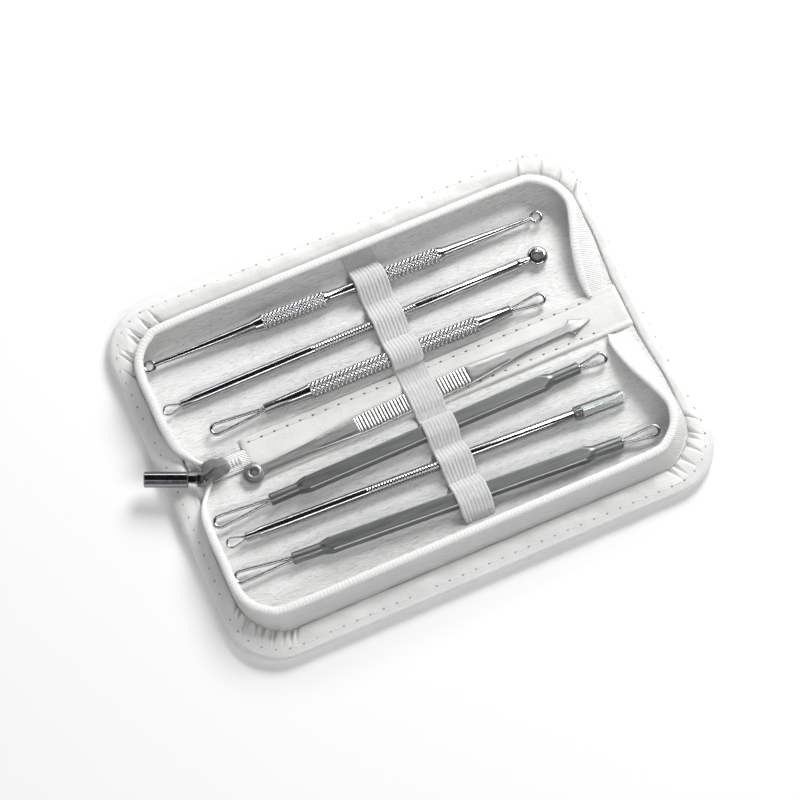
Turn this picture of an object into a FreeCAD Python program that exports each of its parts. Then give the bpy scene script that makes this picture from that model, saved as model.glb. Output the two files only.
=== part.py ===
import FreeCAD, Part
import math
import os

import Sketcher

# Open zip case with seven double-ended skin extractor tools, lengths in millimetres and angles in degrees.
# X runs along the spine, Y across it to the far half, Z up; the origin is under the middle of the spine.

CASE = {
    "case_length": 150.0,
    "half_width": 49.8,
    "spine_width": 16.4,
    "crease_gap": 0.15,
    "corner_radius": 16.0,
    "rim_fillet": 1.5,
    "leather": 1.2,
    "board_thickness": 1.6,
    "border_thickness": 1.0,
    "border_far": 8.0,
    "border_side": 5.5,
    "lining_thickness": 0.8,
    "lining_inset": 1.2,
    "lining_waist": 3.5,
    "seam_gap": 0.05,
    "overrun": 5.0,
}

ZIP = {
    "tape_thickness": 0.7,
    "tape_height": 6.6,
    "chain_height": 1.6,
    "chain_overhang": 0.45,
    "tape_corner_radius": 14.0,
    "chain_corner_radius": 12.5,
    "lean_far": 3.5,
    "lean_right": 3.0,
    "lean_left": 0.3,
    "waist_base": 2.0,
    "waist_left": 4.0,
    "waist_right": 17.0,
    "waist_reach": 12.0,
    "waist_corner_gap": 5.8,
    "wall_setback": 0.5,
    "dip_height": 1.6,
    "tail_length": 11.3,
    "tail_width": 5.2,
    "tail_drop": 0.05,
    "tail_thickness": 0.5,
    "tail_chain_width": 1.6,
    "tail_chain_height": 0.85,
    "slider_length": 7.4,
    "slider_width": 6.0,
    "slider_plate": 0.9,
    "slider_lower_plate": 0.55,
    "slider_clearance": 0.15,
    "slider_roof_gap": 0.2,
    "slider_overlap": 5.4,
    "slider_neck_length": 1.2,
    "slider_neck_width": 1.8,
    "slider_y": 1.6,
    "bridge_bar_radius": 0.45,
    "bridge_arm": 0.9,
    "bridge_gap": 2.4,
    "bridge_reach": 4.4,
    "bridge_knee": 1.6,
    "bridge_skew": 2.4,
    "bridge_margin": 9.8,
    "bridge_y": 0.2,
    "pull_yaw": 156.0,
    "pull_eye_radius": 1.35,
    "pull_eye_clearance": 0.2,
    "pull_eye_width": 1.9,
    "pull_neck_width": 1.4,
    "pull_barrel_start": 3.0,
    "pull_barrel_length": 12.6,
    "pull_barrel_radius": 2.3,
    "pull_bore_radius": 1.7,
    "pull_bore_depth": 3.0,
    "pull_chamfer": 0.25,
}

SPINE = {
    "spine_border_left": 8.5,
    "spine_border_right": 6.5,
    "strip_left_margin": 24.8,
    "strip_end_gap": 0.3,
    "strip_margin": 2.8,
    "strip_offset": 0.8,
    "strip_thickness": 1.4,
}

STRAP = {
    "strap_x": 3.5,
    "strap_width": 10.0,
    "strap_thickness": 0.8,
    "strap_far_margin": 10.0,
    "strap_near_tail": 6.3,
    "loop_clearance": 0.3,
    "square_loop_clearance": 0.45,
    "flat_loop_clearance": 0.25,
}

TOOLS = {
    "rest_gap": 0.1,
    "bore_depth": 4.0,
    "shank_radius": 0.95,
    "shank_fit": 0.02,
    "wire_radius": 0.42,
    "wire_root": 0.45,
    "wire_lap": 0.4,
    "curette_set_in": 9.35,
    "curette_yaw": -1.2,
    "curette_left_margin": 10.0,
    "curette_right_margin": 19.1,
    "curette_ring": 1.55,
    "curette_ring_wire": 0.42,
    "curette_tip_radius": 0.7,
    "curette_shaft_radius": 1.7,
    "curette_grip_radius": 2.3,
    "curette_neck_length": 2.5,
    "curette_first_grip_start": 33.9,
    "curette_first_grip_end": 14.2,
    "curette_second_grip_start": 5.1,
    "curette_second_grip_end": 21.5,
    "spoon_yaw": 0.2,
    "spoon_left_margin": 13.9,
    "spoon_right_margin": 30.0,
    "spoon_radius": 1.6,
    "spoon_ring_reach": 5.6,
    "spoon_ring_half_width": 1.75,
    "spoon_head_radius": 3.1,
    "spoon_head_hole": 1.15,
    "spoon_head_thickness": 2.2,
    "spoon_head_reach": 6.2,
    "spoon_neck_radius": 0.95,
    "knurled_offset": 3.6,
    "knurled_yaw": -0.6,
    "knurled_left_margin": 35.0,
    "knurled_right_margin": 37.9,
    "knurled_radius": 2.3,
    "knurled_ferrule_radius": 1.6,
    "knurled_left_taper": 14.0,
    "knurled_right_taper": 10.5,
    "knurled_left_loop": 16.8,
    "knurled_right_loop": 11.0,
    "knurled_loop_half_width": 2.1,
    "lancet_edge_gap": 4.1,
    "lancet_yaw": 2.1,
    "lancet_left_margin": 24.8,
    "lancet_right_margin": 17.8,
    "lancet_thickness": 1.3,
    "lancet_grip_half_width": 2.9,
    "lancet_stem_half_width": 1.25,
    "lancet_arrow_half_width": 2.5,
    "lancet_arrow_length": 7.6,
    "lancet_barb_length": 1.4,
    "lancet_eye_radius": 3.2,
    "lancet_eye_hole": 1.1,
    "lancet_rim_width": 1.0,
    "lancet_rim_height": 0.55,
    "square_side": 4.2,
    "square_ferrule_radius": 1.75,
    "square_ferrule_length": 8.5,
    "square_slope_length": 5.0,
    "upper_offset": 4.7,
    "upper_yaw": 0.5,
    "upper_left_margin": 25.9,
    "upper_right_margin": 27.5,
    "upper_left_loop": 17.6,
    "upper_right_loop": 9.0,
    "upper_left_half_width": 2.2,
    "upper_right_half_width": 2.1,
    "needle_yaw": -2.4,
    "needle_left_margin": 15.1,
    "needle_right_margin": 32.0,
    "needle_radius": 1.6,
    "needle_ring_reach": 5.8,
    "needle_ring_half_width": 1.75,
    "needle_length": 9.5,
    "needle_root_radius": 0.55,
    "needle_cap_length": 15.8,
    "needle_cap_lap": 2.6,
    "needle_cap_radius": 2.15,
    "needle_cap_fit": 0.06,
    "needle_cap_end": 1.0,
    "lower_set_in": 10.45,
    "lower_yaw": -3.5,
    "lower_left_margin": 24.7,
    "lower_right_margin": 25.7,
    "lower_left_loop": 17.6,
    "lower_right_loop": 11.8,
    "lower_left_half_width": 2.2,
    "lower_right_half_width": 2.0,
}

HALF_SHARE = 0.5
SPREAD_SHARE = 0.75
SPOON_PLACE_SHARE = 0.488
NEEDLE_PLACE_SHARE = 0.473
HALF_DIAGONAL_SHARE = 0.7072
GROOVE_REACH_SHARE = 0.78
SHIELD_SHARES = ((-0.5, 0.26), (-0.3, 0.5), (0.3, 0.43), (0.46, 0.26))
GRIP_START_SHARE = 0.36
GRIP_END_SHARE = 0.3
STEM_END_SHARE = 0.66


class Size:
    """A length with its value and its formula over the sheet's cells."""

    def __init__(self, value, text):
        self.value = value
        self.text = text

    def __add__(self, other):
        return Size(self.value + other.value, f"({self.text} + {other.text})")

    def __sub__(self, other):
        return Size(self.value - other.value, f"({self.text} - {other.text})")

    def __neg__(self):
        return Size(-self.value, f"(-1 * {self.text})")

    def __mul__(self, share):
        return Size(self.value * share, f"({share} * {self.text})")

    __rmul__ = __mul__


class Sizes:
    """The sheet's cells, by alias."""


doc = FreeCAD.newDocument("extractor_kit")
sheet = doc.addObject("Spreadsheet::Sheet", "dims")
d = Sizes()
ZERO = Size(0.0, "0")
nodes = []


def fill_sheet():
    row = 0
    for group in (CASE, ZIP, SPINE, STRAP, TOOLS):
        for alias, value in group.items():
            row += 1
            sheet.set(f"A{row}", alias)
            sheet.set(f"B{row}", str(value))
            sheet.setAlias(f"B{row}", alias)
            setattr(d, alias, Size(value, f"dims.{alias}"))
    doc.recompute()


# Sketch helpers

def new_body(name):
    body = doc.addObject("PartDesign::Body", name)
    body.Label = name
    nodes.append(body)
    return body


def place(body, x, y, z, yaw):
    body.setExpression("Placement.Base.x", x.text)
    body.setExpression("Placement.Base.y", y.text)
    body.setExpression("Placement.Base.z", z.text)
    body.setExpression("Placement.Rotation.Angle", yaw.text)


def sketch_on(body, name, plane, level=ZERO):
    sketch = body.newObject("Sketcher::SketchObject", f"{body.Name}_{name}")
    support = next(f for f in body.Origin.OriginFeatures if f.Role == f"{plane}_Plane")
    sketch.AttachmentSupport = [(support, "")]
    sketch.MapMode = "FlatFace"
    sketch.setExpression("AttachmentOffset.Base.z", level.text)
    return sketch


def bind(sketch, constraint, size):
    index = sketch.addConstraint(constraint)
    sketch.setExpression(f"Constraints[{index}]", size.text)


def fix_point(sketch, geometry, position, x, y):
    bind(sketch, Sketcher.Constraint("DistanceX", -1, 1, geometry, position, x.value), x)
    bind(sketch, Sketcher.Constraint("DistanceY", -1, 1, geometry, position, y.value), y)


def arc_between(start, end, centre, radius, turn):
    first = math.atan2(start.y - centre.y, start.x - centre.x)
    last = math.atan2(end.y - centre.y, end.x - centre.x)
    if turn < 0:
        first, last = last, first
    if last < first:
        last += 2 * math.pi
    circle = Part.Circle(centre, FreeCAD.Vector(0, 0, 1), radius)
    return Part.ArcOfCircle(circle, first, last)


def short_arc(start, end, radius, turn):
    chord = end - start
    rise = math.sqrt(max(radius ** 2 - (chord.Length / 2) ** 2, 0.0))
    side = FreeCAD.Vector(-chord.y, chord.x, 0) * (turn * rise / chord.Length)
    return arc_between(start, end, (start + end) / 2 + side, radius, turn)


def add_loop(sketch, steps):
    """A closed loop; a step is (x, y) for a line to that point, or (x, y, radius, turn) for an arc to it."""
    ends = []
    for before, step in zip(steps[-1:] + steps[:-1], steps):
        start = FreeCAD.Vector(before[0].value, before[1].value, 0)
        end = FreeCAD.Vector(step[0].value, step[1].value, 0)
        if len(step) == 2:
            index = sketch.addGeometry(Part.LineSegment(start, end), False)
            ends.append((index, 1, 2))
        else:
            radius, turn = step[2:]
            index = sketch.addGeometry(short_arc(start, end, radius.value, turn), False)
            bind(sketch, Sketcher.Constraint("Radius", index, radius.value), radius)
            ends.append((index, 1, 2) if turn > 0 else (index, 2, 1))
    for number, step in enumerate(steps):
        index, _, last = ends[number]
        after, first, _ = ends[(number + 1) % len(ends)]
        sketch.addConstraint(Sketcher.Constraint("Coincident", index, last, after, first))
        fix_point(sketch, index, last, step[0], step[1])


def add_box(sketch, left, right, low, high):
    add_loop(sketch, [(left, low), (right, low), (right, high), (left, high)])


def add_circle(sketch, x, y, radius):
    centre = FreeCAD.Vector(x.value, y.value, 0)
    circle = Part.Circle(centre, FreeCAD.Vector(0, 0, 1), radius.value)
    index = sketch.addGeometry(circle, False)
    bind(sketch, Sketcher.Constraint("Radius", index, radius.value), radius)
    fix_point(sketch, index, 3, x, y)


# Feature helpers

def pad(body, sketch, length, symmetric=False, down=False):
    feature = body.newObject("PartDesign::Pad", f"{sketch.Name}_pad")
    feature.Profile = sketch
    feature.setExpression("Length", length.text)
    feature.SideType = "Symmetric" if symmetric else "One side"
    feature.Reversed = down
    return feature


def check_cut(body, before, name):
    doc.recompute()
    if body.Shape.Volume >= before:
        raise RuntimeError(f"{name} cuts nothing")


def pocket(body, sketch, length=None, up=False):
    """Cut the sketch to a depth, or right through both ways where no depth is given."""
    doc.recompute()
    before = body.Shape.Volume
    feature = body.newObject("PartDesign::Pocket", f"{sketch.Name}_cut")
    feature.Profile = sketch
    feature.Reversed = up
    if length is None:
        feature.Type = "ThroughAll"
        feature.SideType = "Symmetric"
    else:
        feature.setExpression("Length", length.text)
    check_cut(body, before, feature.Name)


def revolve(body, sketch, kind="Revolution"):
    doc.recompute()
    before = body.Shape.Volume if kind == "Groove" else 0.0
    feature = body.newObject(f"PartDesign::{kind}", f"{sketch.Name}_turned")
    feature.Profile = sketch
    feature.ReferenceAxis = (sketch, ["H_Axis"])
    feature.Angle = 360.0
    if kind == "Groove":
        check_cut(body, before, feature.Name)


def loft(body, low, high, kind):
    feature = body.newObject(f"PartDesign::{kind}Loft", f"{low.Name}_loft")
    feature.Profile = low
    feature.Sections = [high]
    feature.Ruled = True


def fillet_edges(body, feature, radius, wanted):
    doc.recompute()
    names = [f"Edge{n}" for n, edge in enumerate(feature.Shape.Edges, 1) if wanted(edge)]
    rounded = body.newObject("PartDesign::Fillet", f"{body.Name}_rounded")
    rounded.Base = (feature, names)
    rounded.setExpression("Radius", radius.text)


def cylinder_along_x(body, name, start, end, radius):
    sketch = sketch_on(body, name, "YZ", start)
    add_circle(sketch, ZERO, ZERO, radius)
    pad(body, sketch, end - start)


# Levels and lines shared by the case's pieces

def set_levels():
    d.half_length = d.case_length * HALF_SHARE
    d.crease = d.spine_width * HALF_SHARE
    d.hinge_edge = d.crease + d.crease_gap
    d.wall_start = d.hinge_edge + d.wall_setback
    d.outer_edge = d.crease + d.half_width
    d.board_top = d.leather + d.board_thickness
    d.border_top = d.board_top + d.border_thickness
    d.lining_top = d.board_top + d.lining_thickness
    d.strip_top = d.board_top + d.strip_thickness
    d.seam_side = d.half_length - d.border_side
    d.seam_far = d.outer_edge - d.border_far
    d.waist_y = d.crease + d.waist_reach
    d.waist_y_right = d.seam_far - d.lean_far - d.chain_corner_radius - d.waist_corner_gap
    d.tape_top = d.board_top + d.tape_height
    d.chain_top = d.tape_top + d.chain_height
    d.tool_floor = d.lining_top + d.rest_gap
    d.strip_left = d.half_length - d.strip_left_margin
    d.strip_width = d.spine_width - d.strip_margin
    d.bridge_x = d.half_length - d.bridge_margin


def set_places():
    """Where each tool lies across the case, and how far it reaches to each side of the strap."""
    spread = d.crease + d.half_width * SPREAD_SHARE
    d.knurled_y = d.crease + d.knurled_offset
    d.curette_y = spread - d.curette_set_in
    d.spoon_y = d.knurled_y + (d.curette_y - d.knurled_y) * SPOON_PLACE_SHARE
    d.lancet_y = d.strip_offset - d.strip_width * HALF_SHARE + d.lancet_edge_gap
    d.upper_y = -d.crease - d.upper_offset
    d.lower_y = d.lower_set_in - spread
    d.needle_y = d.upper_y + (d.lower_y - d.upper_y) * NEEDLE_PLACE_SHARE
    d.strap_far_end = d.outer_edge - d.strap_far_margin
    d.strap_near_end = d.strap_near_tail - d.lower_y
    for tool in ("curette", "spoon", "knurled", "lancet", "upper", "needle", "lower"):
        left_margin = getattr(d, f"{tool}_left_margin")
        right_margin = getattr(d, f"{tool}_right_margin")
        setattr(d, f"{tool}_left", d.half_length + d.strap_x - left_margin)
        setattr(d, f"{tool}_right", d.half_length - d.strap_x - right_margin)


def draw_half(sketch, side, inset, start):
    """Rounded half outline, set in from the case's edge, from the crease side to the outer side."""
    x = d.half_length - inset
    far = d.outer_edge - inset
    radius = d.corner_radius - inset
    add_loop(sketch, [
        (-x, side * start),
        (-x, side * (far - radius)),
        (radius - x, side * far, radius, -side),
        (x - radius, side * far),
        (x, side * (far - radius), radius, -side),
        (x, side * start),
    ])


def draw_waisted(sketch, side, left, right, far, radius, waist_left, waist_right, start):
    """Outline of the zip wall at one level: three sides with a waist towards the spine."""
    add_loop(sketch, [
        (waist_left - left, side * start),
        (waist_left - left, side * d.wall_start),
        (-left, side * d.waist_y),
        (-left, side * (far - radius)),
        (radius - left, side * far, radius, -side),
        (right - radius, side * far),
        (right, side * (far - radius), radius, -side),
        (right, side * d.waist_y_right),
        (right - waist_right, side * d.wall_start),
        (right - waist_right, side * start),
    ])


def draw_wall_base(sketch, side, inset, start):
    draw_waisted(sketch, side, d.seam_side - inset, d.seam_side - inset, d.seam_far - inset,
                 d.tape_corner_radius - inset, d.waist_base, d.waist_base, start)


def draw_wall_top(sketch, side, inset, start):
    draw_waisted(sketch, side, d.seam_side - d.lean_left - inset, d.seam_side - d.lean_right - inset,
                 d.seam_far - d.lean_far - inset, d.chain_corner_radius - inset,
                 d.waist_left, d.waist_right, start)


def wall(body, side, outer_inset, inner_inset):
    """Leaning wall from the board to the chain's top, between two insets."""
    inner_start = d.hinge_edge - d.overrun
    outer_start = d.wall_start - d.seam_gap
    for name, inset, start, kind in (("outer", outer_inset, outer_start, "Additive"),
                                     ("inner", inner_inset, inner_start, "Subtractive")):
        low = sketch_on(body, f"{name}_low", "XY", d.board_top)
        draw_wall_base(low, side, inset, start)
        high = sketch_on(body, f"{name}_high", "XY", d.chain_top)
        draw_wall_top(high, side, inset, start)
        loft(body, low, high, kind)


def draw_wall_profile(sketch, side, drop, limit):
    """Area beyond the line of the zip, which dips towards the spine; limit is above or below it."""
    inner = d.hinge_edge - d.overrun
    outer = d.outer_edge + d.overrun
    full = d.tape_top + drop
    low = d.board_top + d.dip_height + drop
    add_loop(sketch, [
        (side * inner, low),
        (side * d.hinge_edge, low),
        (side * d.waist_y, full),
        (side * outer, full),
        (side * outer, limit),
        (side * inner, limit),
    ])


# The case

def make_cover(side, name):
    body = new_body(name)
    outline = sketch_on(body, "outline", "XY")
    draw_half(outline, side, ZERO, d.hinge_edge)
    block = pad(body, outline, d.border_top)

    def rim(edge):
        flat = abs(edge.BoundBox.ZLength) < d.seam_gap.value
        return flat and abs(edge.BoundBox.Center.y) > d.hinge_edge.value + d.seam_gap.value

    fillet_edges(body, block, d.rim_fillet, rim)
    pouch = sketch_on(body, "pouch", "XY", d.leather)
    draw_half(pouch, side, d.leather, d.hinge_edge - d.overrun)
    pocket(body, pouch, d.board_thickness, up=True)
    window = sketch_on(body, "window", "XY", d.board_top)
    draw_wall_base(window, side, -d.seam_gap, d.hinge_edge - d.overrun)
    pocket(body, window, d.border_thickness + d.overrun, up=True)


def make_board(side, name):
    body = new_body(name)
    outline = sketch_on(body, "outline", "XY", d.leather)
    draw_half(outline, side, d.leather, d.hinge_edge)
    pad(body, outline, d.board_thickness)


def make_lining(side, name):
    body = new_body(name)
    outline = sketch_on(body, "outline", "XY", d.board_top)
    edge = d.seam_side - d.lining_inset
    draw_waisted(outline, side, edge, edge, d.seam_far - d.lining_inset, d.tape_corner_radius - d.lining_inset,
                 d.waist_base, d.lining_waist, d.hinge_edge - d.seam_gap)
    pad(body, outline, d.lining_thickness)


def make_tape(side, name):
    body = new_body(name)
    wall(body, side, ZERO, d.tape_thickness)
    above = sketch_on(body, "above", "YZ")
    draw_wall_profile(above, side, ZERO, d.chain_top + d.overrun)
    pocket(body, above)


def make_chain(side, name):
    body = new_body(name)
    wall(body, side, -d.chain_overhang, d.tape_thickness + d.chain_overhang)
    below = sketch_on(body, "below", "YZ")
    draw_wall_profile(below, side, ZERO, -d.overrun)
    pocket(body, below)
    above = sketch_on(body, "above", "YZ")
    draw_wall_profile(above, side, d.chain_height, d.chain_top + d.overrun)
    pocket(body, above)


def make_half(side, name):
    make_cover(side, f"{name}_cover")
    make_board(side, f"{name}_board")
    make_lining(side, f"{name}_lining")
    make_tape(side, f"{name}_zip_tape")
    make_chain(side, f"{name}_zip_chain")


def make_spine():
    edge = d.crease - d.crease_gap
    left = d.spine_border_left - d.half_length
    right = d.half_length - d.spine_border_right
    cover = new_body("spine_cover")
    outline = sketch_on(cover, "outline", "XY")
    add_box(outline, -d.half_length, d.half_length, -edge, edge)
    block = pad(cover, outline, d.border_top)

    def end_edge(piece):
        return piece.BoundBox.YLength > edge.value and piece.BoundBox.XLength < d.seam_gap.value

    fillet_edges(cover, block, d.rim_fillet, end_edge)
    trough = sketch_on(cover, "trough", "XY", d.leather)
    add_box(trough, left, right, -edge - d.overrun, edge + d.overrun)
    pocket(cover, trough, d.border_top, up=True)

    core = new_body("spine_core")
    outline = sketch_on(core, "outline", "XY", d.leather)
    add_box(outline, left, right, -edge, edge)
    pad(core, outline, d.board_thickness)

    strip = new_body("spine_strip")
    outline = sketch_on(strip, "outline", "XY", d.board_top)
    half = d.strip_width * HALF_SHARE
    add_box(outline, -d.strip_left, right - d.strip_end_gap, d.strip_offset - half, d.strip_offset + half)
    pad(strip, outline, d.strip_thickness)


def make_zip_tail():
    """Closed start of the zip, which runs from the slider into the spine strip's end."""
    body = new_body("zip_tail")
    top = d.strip_top - d.tail_drop
    tape = sketch_on(body, "tape", "XY", top - d.tail_thickness)
    half = d.tail_width * HALF_SHARE
    left = -d.strip_left - d.tail_length
    add_box(tape, left, -d.strip_left, d.slider_y - half, d.slider_y + half)
    pad(body, tape, d.tail_thickness)
    chain = sketch_on(body, "chain", "XY", top)
    half = d.tail_chain_width * HALF_SHARE
    add_box(chain, left, -d.strip_left, d.slider_y - half, d.slider_y + half)
    pad(body, chain, d.tail_chain_height)


def draw_shield(sketch, middle):
    """The slider's plate: a broad rounded nose to the left, narrower to the right."""
    upper = [(middle + x * d.slider_length, d.slider_y + y * d.slider_width) for x, y in SHIELD_SHARES]
    lower = [(middle + x * d.slider_length, d.slider_y - y * d.slider_width) for x, y in SHIELD_SHARES]
    add_loop(sketch, upper + lower[::-1])


def make_slider():
    body = new_body("zip_slider")
    tail_end = -d.strip_left - d.tail_length
    middle = tail_end + d.slider_overlap - d.slider_length * HALF_SHARE
    under = d.board_top + d.slider_clearance
    roof = d.strip_top - d.tail_drop + d.tail_chain_height + d.slider_roof_gap
    lower = sketch_on(body, "lower", "XY", under)
    draw_shield(lower, middle)
    pad(body, lower, d.slider_lower_plate)
    neck = sketch_on(body, "neck", "XY", under)
    half = d.slider_neck_width * HALF_SHARE
    neck_end = tail_end - d.slider_clearance
    add_box(neck, neck_end - d.slider_neck_length, neck_end, d.slider_y - half, d.slider_y + half)
    pad(body, neck, roof + d.slider_plate - under)
    upper = sketch_on(body, "upper", "XY", roof)
    draw_shield(upper, middle)
    pad(body, upper, d.slider_plate)
    return roof + d.slider_plate


def make_bridge(slider_top):
    """Wire bridge from the slider's plate past its nose, which carries the pull's eye."""
    body = new_body("slider_bridge")
    place(body, -d.bridge_x, d.bridge_y, slider_top + d.bridge_bar_radius, d.pull_yaw)
    half = d.bridge_gap * HALF_SHARE
    arms = sketch_on(body, "arms", "XY", -d.bridge_bar_radius)
    for low, high in ((half, half + d.bridge_arm), (-half - d.bridge_arm, -half)):
        add_loop(arms, [
            (d.bridge_bar_radius, low),
            (d.bridge_bar_radius, high),
            (-d.bridge_knee, high),
            (-d.bridge_reach, high - d.bridge_skew),
            (-d.bridge_reach, low - d.bridge_skew),
            (-d.bridge_knee, low),
        ])
    pad(body, arms, d.bridge_bar_radius + d.bridge_bar_radius)
    bar = sketch_on(body, "bar", "XZ")
    add_circle(bar, ZERO, ZERO, d.bridge_bar_radius)
    pad(body, bar, d.bridge_gap + d.bridge_arm, symmetric=True)


def make_pull(slider_top):
    body = new_body("zip_pull")
    place(body, -d.bridge_x, d.bridge_y, slider_top + d.bridge_bar_radius, d.pull_yaw)
    eye = sketch_on(body, "eye", "XZ")
    add_circle(eye, ZERO, ZERO, d.pull_eye_radius)
    pad(body, eye, d.pull_eye_width, symmetric=True)
    neck = sketch_on(body, "neck", "XZ")
    half = d.pull_neck_width * HALF_SHARE
    add_box(neck, ZERO, d.pull_barrel_start + d.pull_chamfer, -half, half)
    pad(body, neck, d.pull_eye_width, symmetric=True)
    barrel = sketch_on(body, "barrel", "XZ")
    start = d.pull_barrel_start
    end = start + d.pull_barrel_length
    add_loop(barrel, [
        (start, ZERO),
        (start, d.pull_barrel_radius - d.pull_chamfer),
        (start + d.pull_chamfer, d.pull_barrel_radius),
        (end - d.pull_chamfer, d.pull_barrel_radius),
        (end, d.pull_barrel_radius - d.pull_chamfer),
        (end, d.pull_bore_radius),
        (end - d.pull_bore_depth, d.pull_bore_radius),
        (end - d.pull_bore_depth, ZERO),
    ])
    revolve(body, barrel)
    hole = sketch_on(body, "hole", "XZ")
    add_circle(hole, ZERO, ZERO, d.bridge_bar_radius + d.pull_eye_clearance)
    pocket(body, hole)


# The elastic strap, one run on each half and one on the spine

def round_hump(y, radius, z):
    """Tunnel of a round loop: its outer line going up in y, and its inner line coming back."""
    reach = radius + d.strap_thickness

    def outer_line(level):
        return [(y - reach, level), (y - reach, z), (y, z + reach, reach, -1),
                (y + reach, z, reach, -1), (y + reach, level)]

    def inner_line(level):
        return [(y + radius, level), (y + radius, z), (y, z + radius, radius, 1),
                (y - radius, z, radius, 1), (y - radius, level)]

    return outer_line, inner_line


def flat_hump(y, half_width, top):
    """Tunnel of a flat loop over a flat tool."""
    reach = half_width + d.strap_thickness
    roof = top + d.strap_thickness

    def outer_line(level):
        return [(y - reach, level), (y - reach, roof), (y + reach, roof), (y + reach, level)]

    def inner_line(level):
        return [(y + half_width, level), (y + half_width, top), (y - half_width, top), (y - half_width, level)]

    return outer_line, inner_line


def make_strap(name, start, end, level, humps):
    body = new_body(name)
    profile = sketch_on(body, "profile", "YZ", d.strap_x)
    top = level + d.strap_thickness
    steps = [(start, top)]
    for outer_line, _ in humps:
        steps += outer_line(top)
    steps += [(end, top), (end, level)]
    for _, inner_line in reversed(humps):
        steps += inner_line(level)
    steps.append((start, level))
    add_loop(profile, steps)
    pad(body, profile, d.strap_width, symmetric=True)


def make_straps():
    square_loop = d.square_side * HALF_DIAGONAL_SHARE + d.square_loop_clearance
    flat_loop = d.lancet_grip_half_width + d.flat_loop_clearance
    flat_top = d.strip_top + d.rest_gap + d.lancet_thickness + d.flat_loop_clearance
    make_strap("far_strap", d.hinge_edge, d.strap_far_end, d.lining_top, [
        round_hump(d.knurled_y, d.knurled_radius + d.loop_clearance, d.tool_floor + d.knurled_radius),
        round_hump(d.spoon_y, d.spoon_radius + d.loop_clearance, d.tool_floor + d.spoon_radius),
        round_hump(d.curette_y, d.curette_grip_radius + d.loop_clearance, d.tool_floor + d.curette_grip_radius),
    ])
    strip_half = d.strip_width * HALF_SHARE
    make_strap("spine_strap", d.strip_offset - strip_half, d.strip_offset + strip_half, d.strip_top, [
        flat_hump(d.lancet_y, flat_loop, flat_top),
    ])
    make_strap("near_strap", -d.strap_near_end, -d.hinge_edge, d.lining_top, [
        round_hump(d.lower_y, square_loop, d.tool_floor + d.square_side * HALF_SHARE),
        round_hump(d.needle_y, d.needle_radius + d.loop_clearance, d.tool_floor + d.needle_cap_radius),
        round_hump(d.upper_y, square_loop, d.tool_floor + d.square_side * HALF_SHARE),
    ])


# The tools, each along its own X axis with its origin under the strap

def make_turned(name, points, left_bore, right_bore):
    """Turned handle through (x, radius) points, with a blind bore in an end where a depth is given."""
    body = new_body(name)
    profile = sketch_on(body, "profile", "XZ")
    first, last = points[0][0], points[-1][0]
    bore = d.shank_radius + d.shank_fit
    steps = list(points)
    if right_bore:
        steps += [(last, bore), (last - d.bore_depth, bore), (last - d.bore_depth, ZERO)]
    else:
        steps.append((last, ZERO))
    if left_bore:
        steps += [(first + d.bore_depth, ZERO), (first + d.bore_depth, bore), (first, bore)]
    else:
        steps.append((first, ZERO))
    add_loop(profile, steps)
    revolve(body, profile)
    return body


def make_wire_loop(name, root, reach, half_width, way):
    """Bent wire loop with a shank in the handle's bore; way is 1 to the right and -1 to the left."""
    body = new_body(name)
    shank_end = root - way * (d.bore_depth - d.shank_fit)
    low, high = (shank_end, root) if way > 0 else (root, shank_end)
    cylinder_along_x(body, "shank", low, high, d.shank_radius)
    path = sketch_on(body, "path", "XY")
    start = root - way * d.wire_lap
    radius = half_width - d.wire_radius
    centre = root + way * (reach - half_width)
    draw_wire_path(path, start, centre, radius, way)
    section = sketch_on(body, "section", "YZ", start)
    add_circle(section, d.wire_root, ZERO, d.wire_radius)
    bend = body.newObject("PartDesign::AdditivePipe", f"{name}_bend")
    bend.Profile = section
    bend.Spine = (path, ["Edge1", "Edge2", "Edge3"])
    return body


def draw_wire_path(path, start, centre, radius, way):
    """Two straight legs that run tangent into a round end."""
    root = FreeCAD.Vector(start.value, d.wire_root.value, 0)
    middle = FreeCAD.Vector(centre.value, 0, 0)
    away = root - middle
    lean = math.acos(radius.value / away.Length)
    bearing = math.atan2(away.y, away.x) - way * lean
    touch = middle + FreeCAD.Vector(math.cos(bearing), math.sin(bearing), 0) * radius.value
    mirrored_touch = FreeCAD.Vector(touch.x, -touch.y, 0)
    mirrored_root = FreeCAD.Vector(root.x, -root.y, 0)
    leg = path.addGeometry(Part.LineSegment(root, touch), False)
    end = path.addGeometry(arc_between(touch, mirrored_touch, middle, radius.value, -way), False)
    back = path.addGeometry(Part.LineSegment(mirrored_touch, mirrored_root), False)
    entry, leave = (2, 1) if way > 0 else (1, 2)
    fix_point(path, leg, 1, start, d.wire_root)
    fix_point(path, back, 2, start, -d.wire_root)
    fix_point(path, end, 3, centre, ZERO)
    bind(path, Sketcher.Constraint("Radius", end, radius.value), radius)
    path.addConstraint(Sketcher.Constraint("Tangent", leg, 2, end, entry))
    path.addConstraint(Sketcher.Constraint("Tangent", end, leave, back, 1))


def set_tool(bodies, y, height, yaw):
    for body in bodies:
        place(body, d.strap_x, y, height, yaw)


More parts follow.
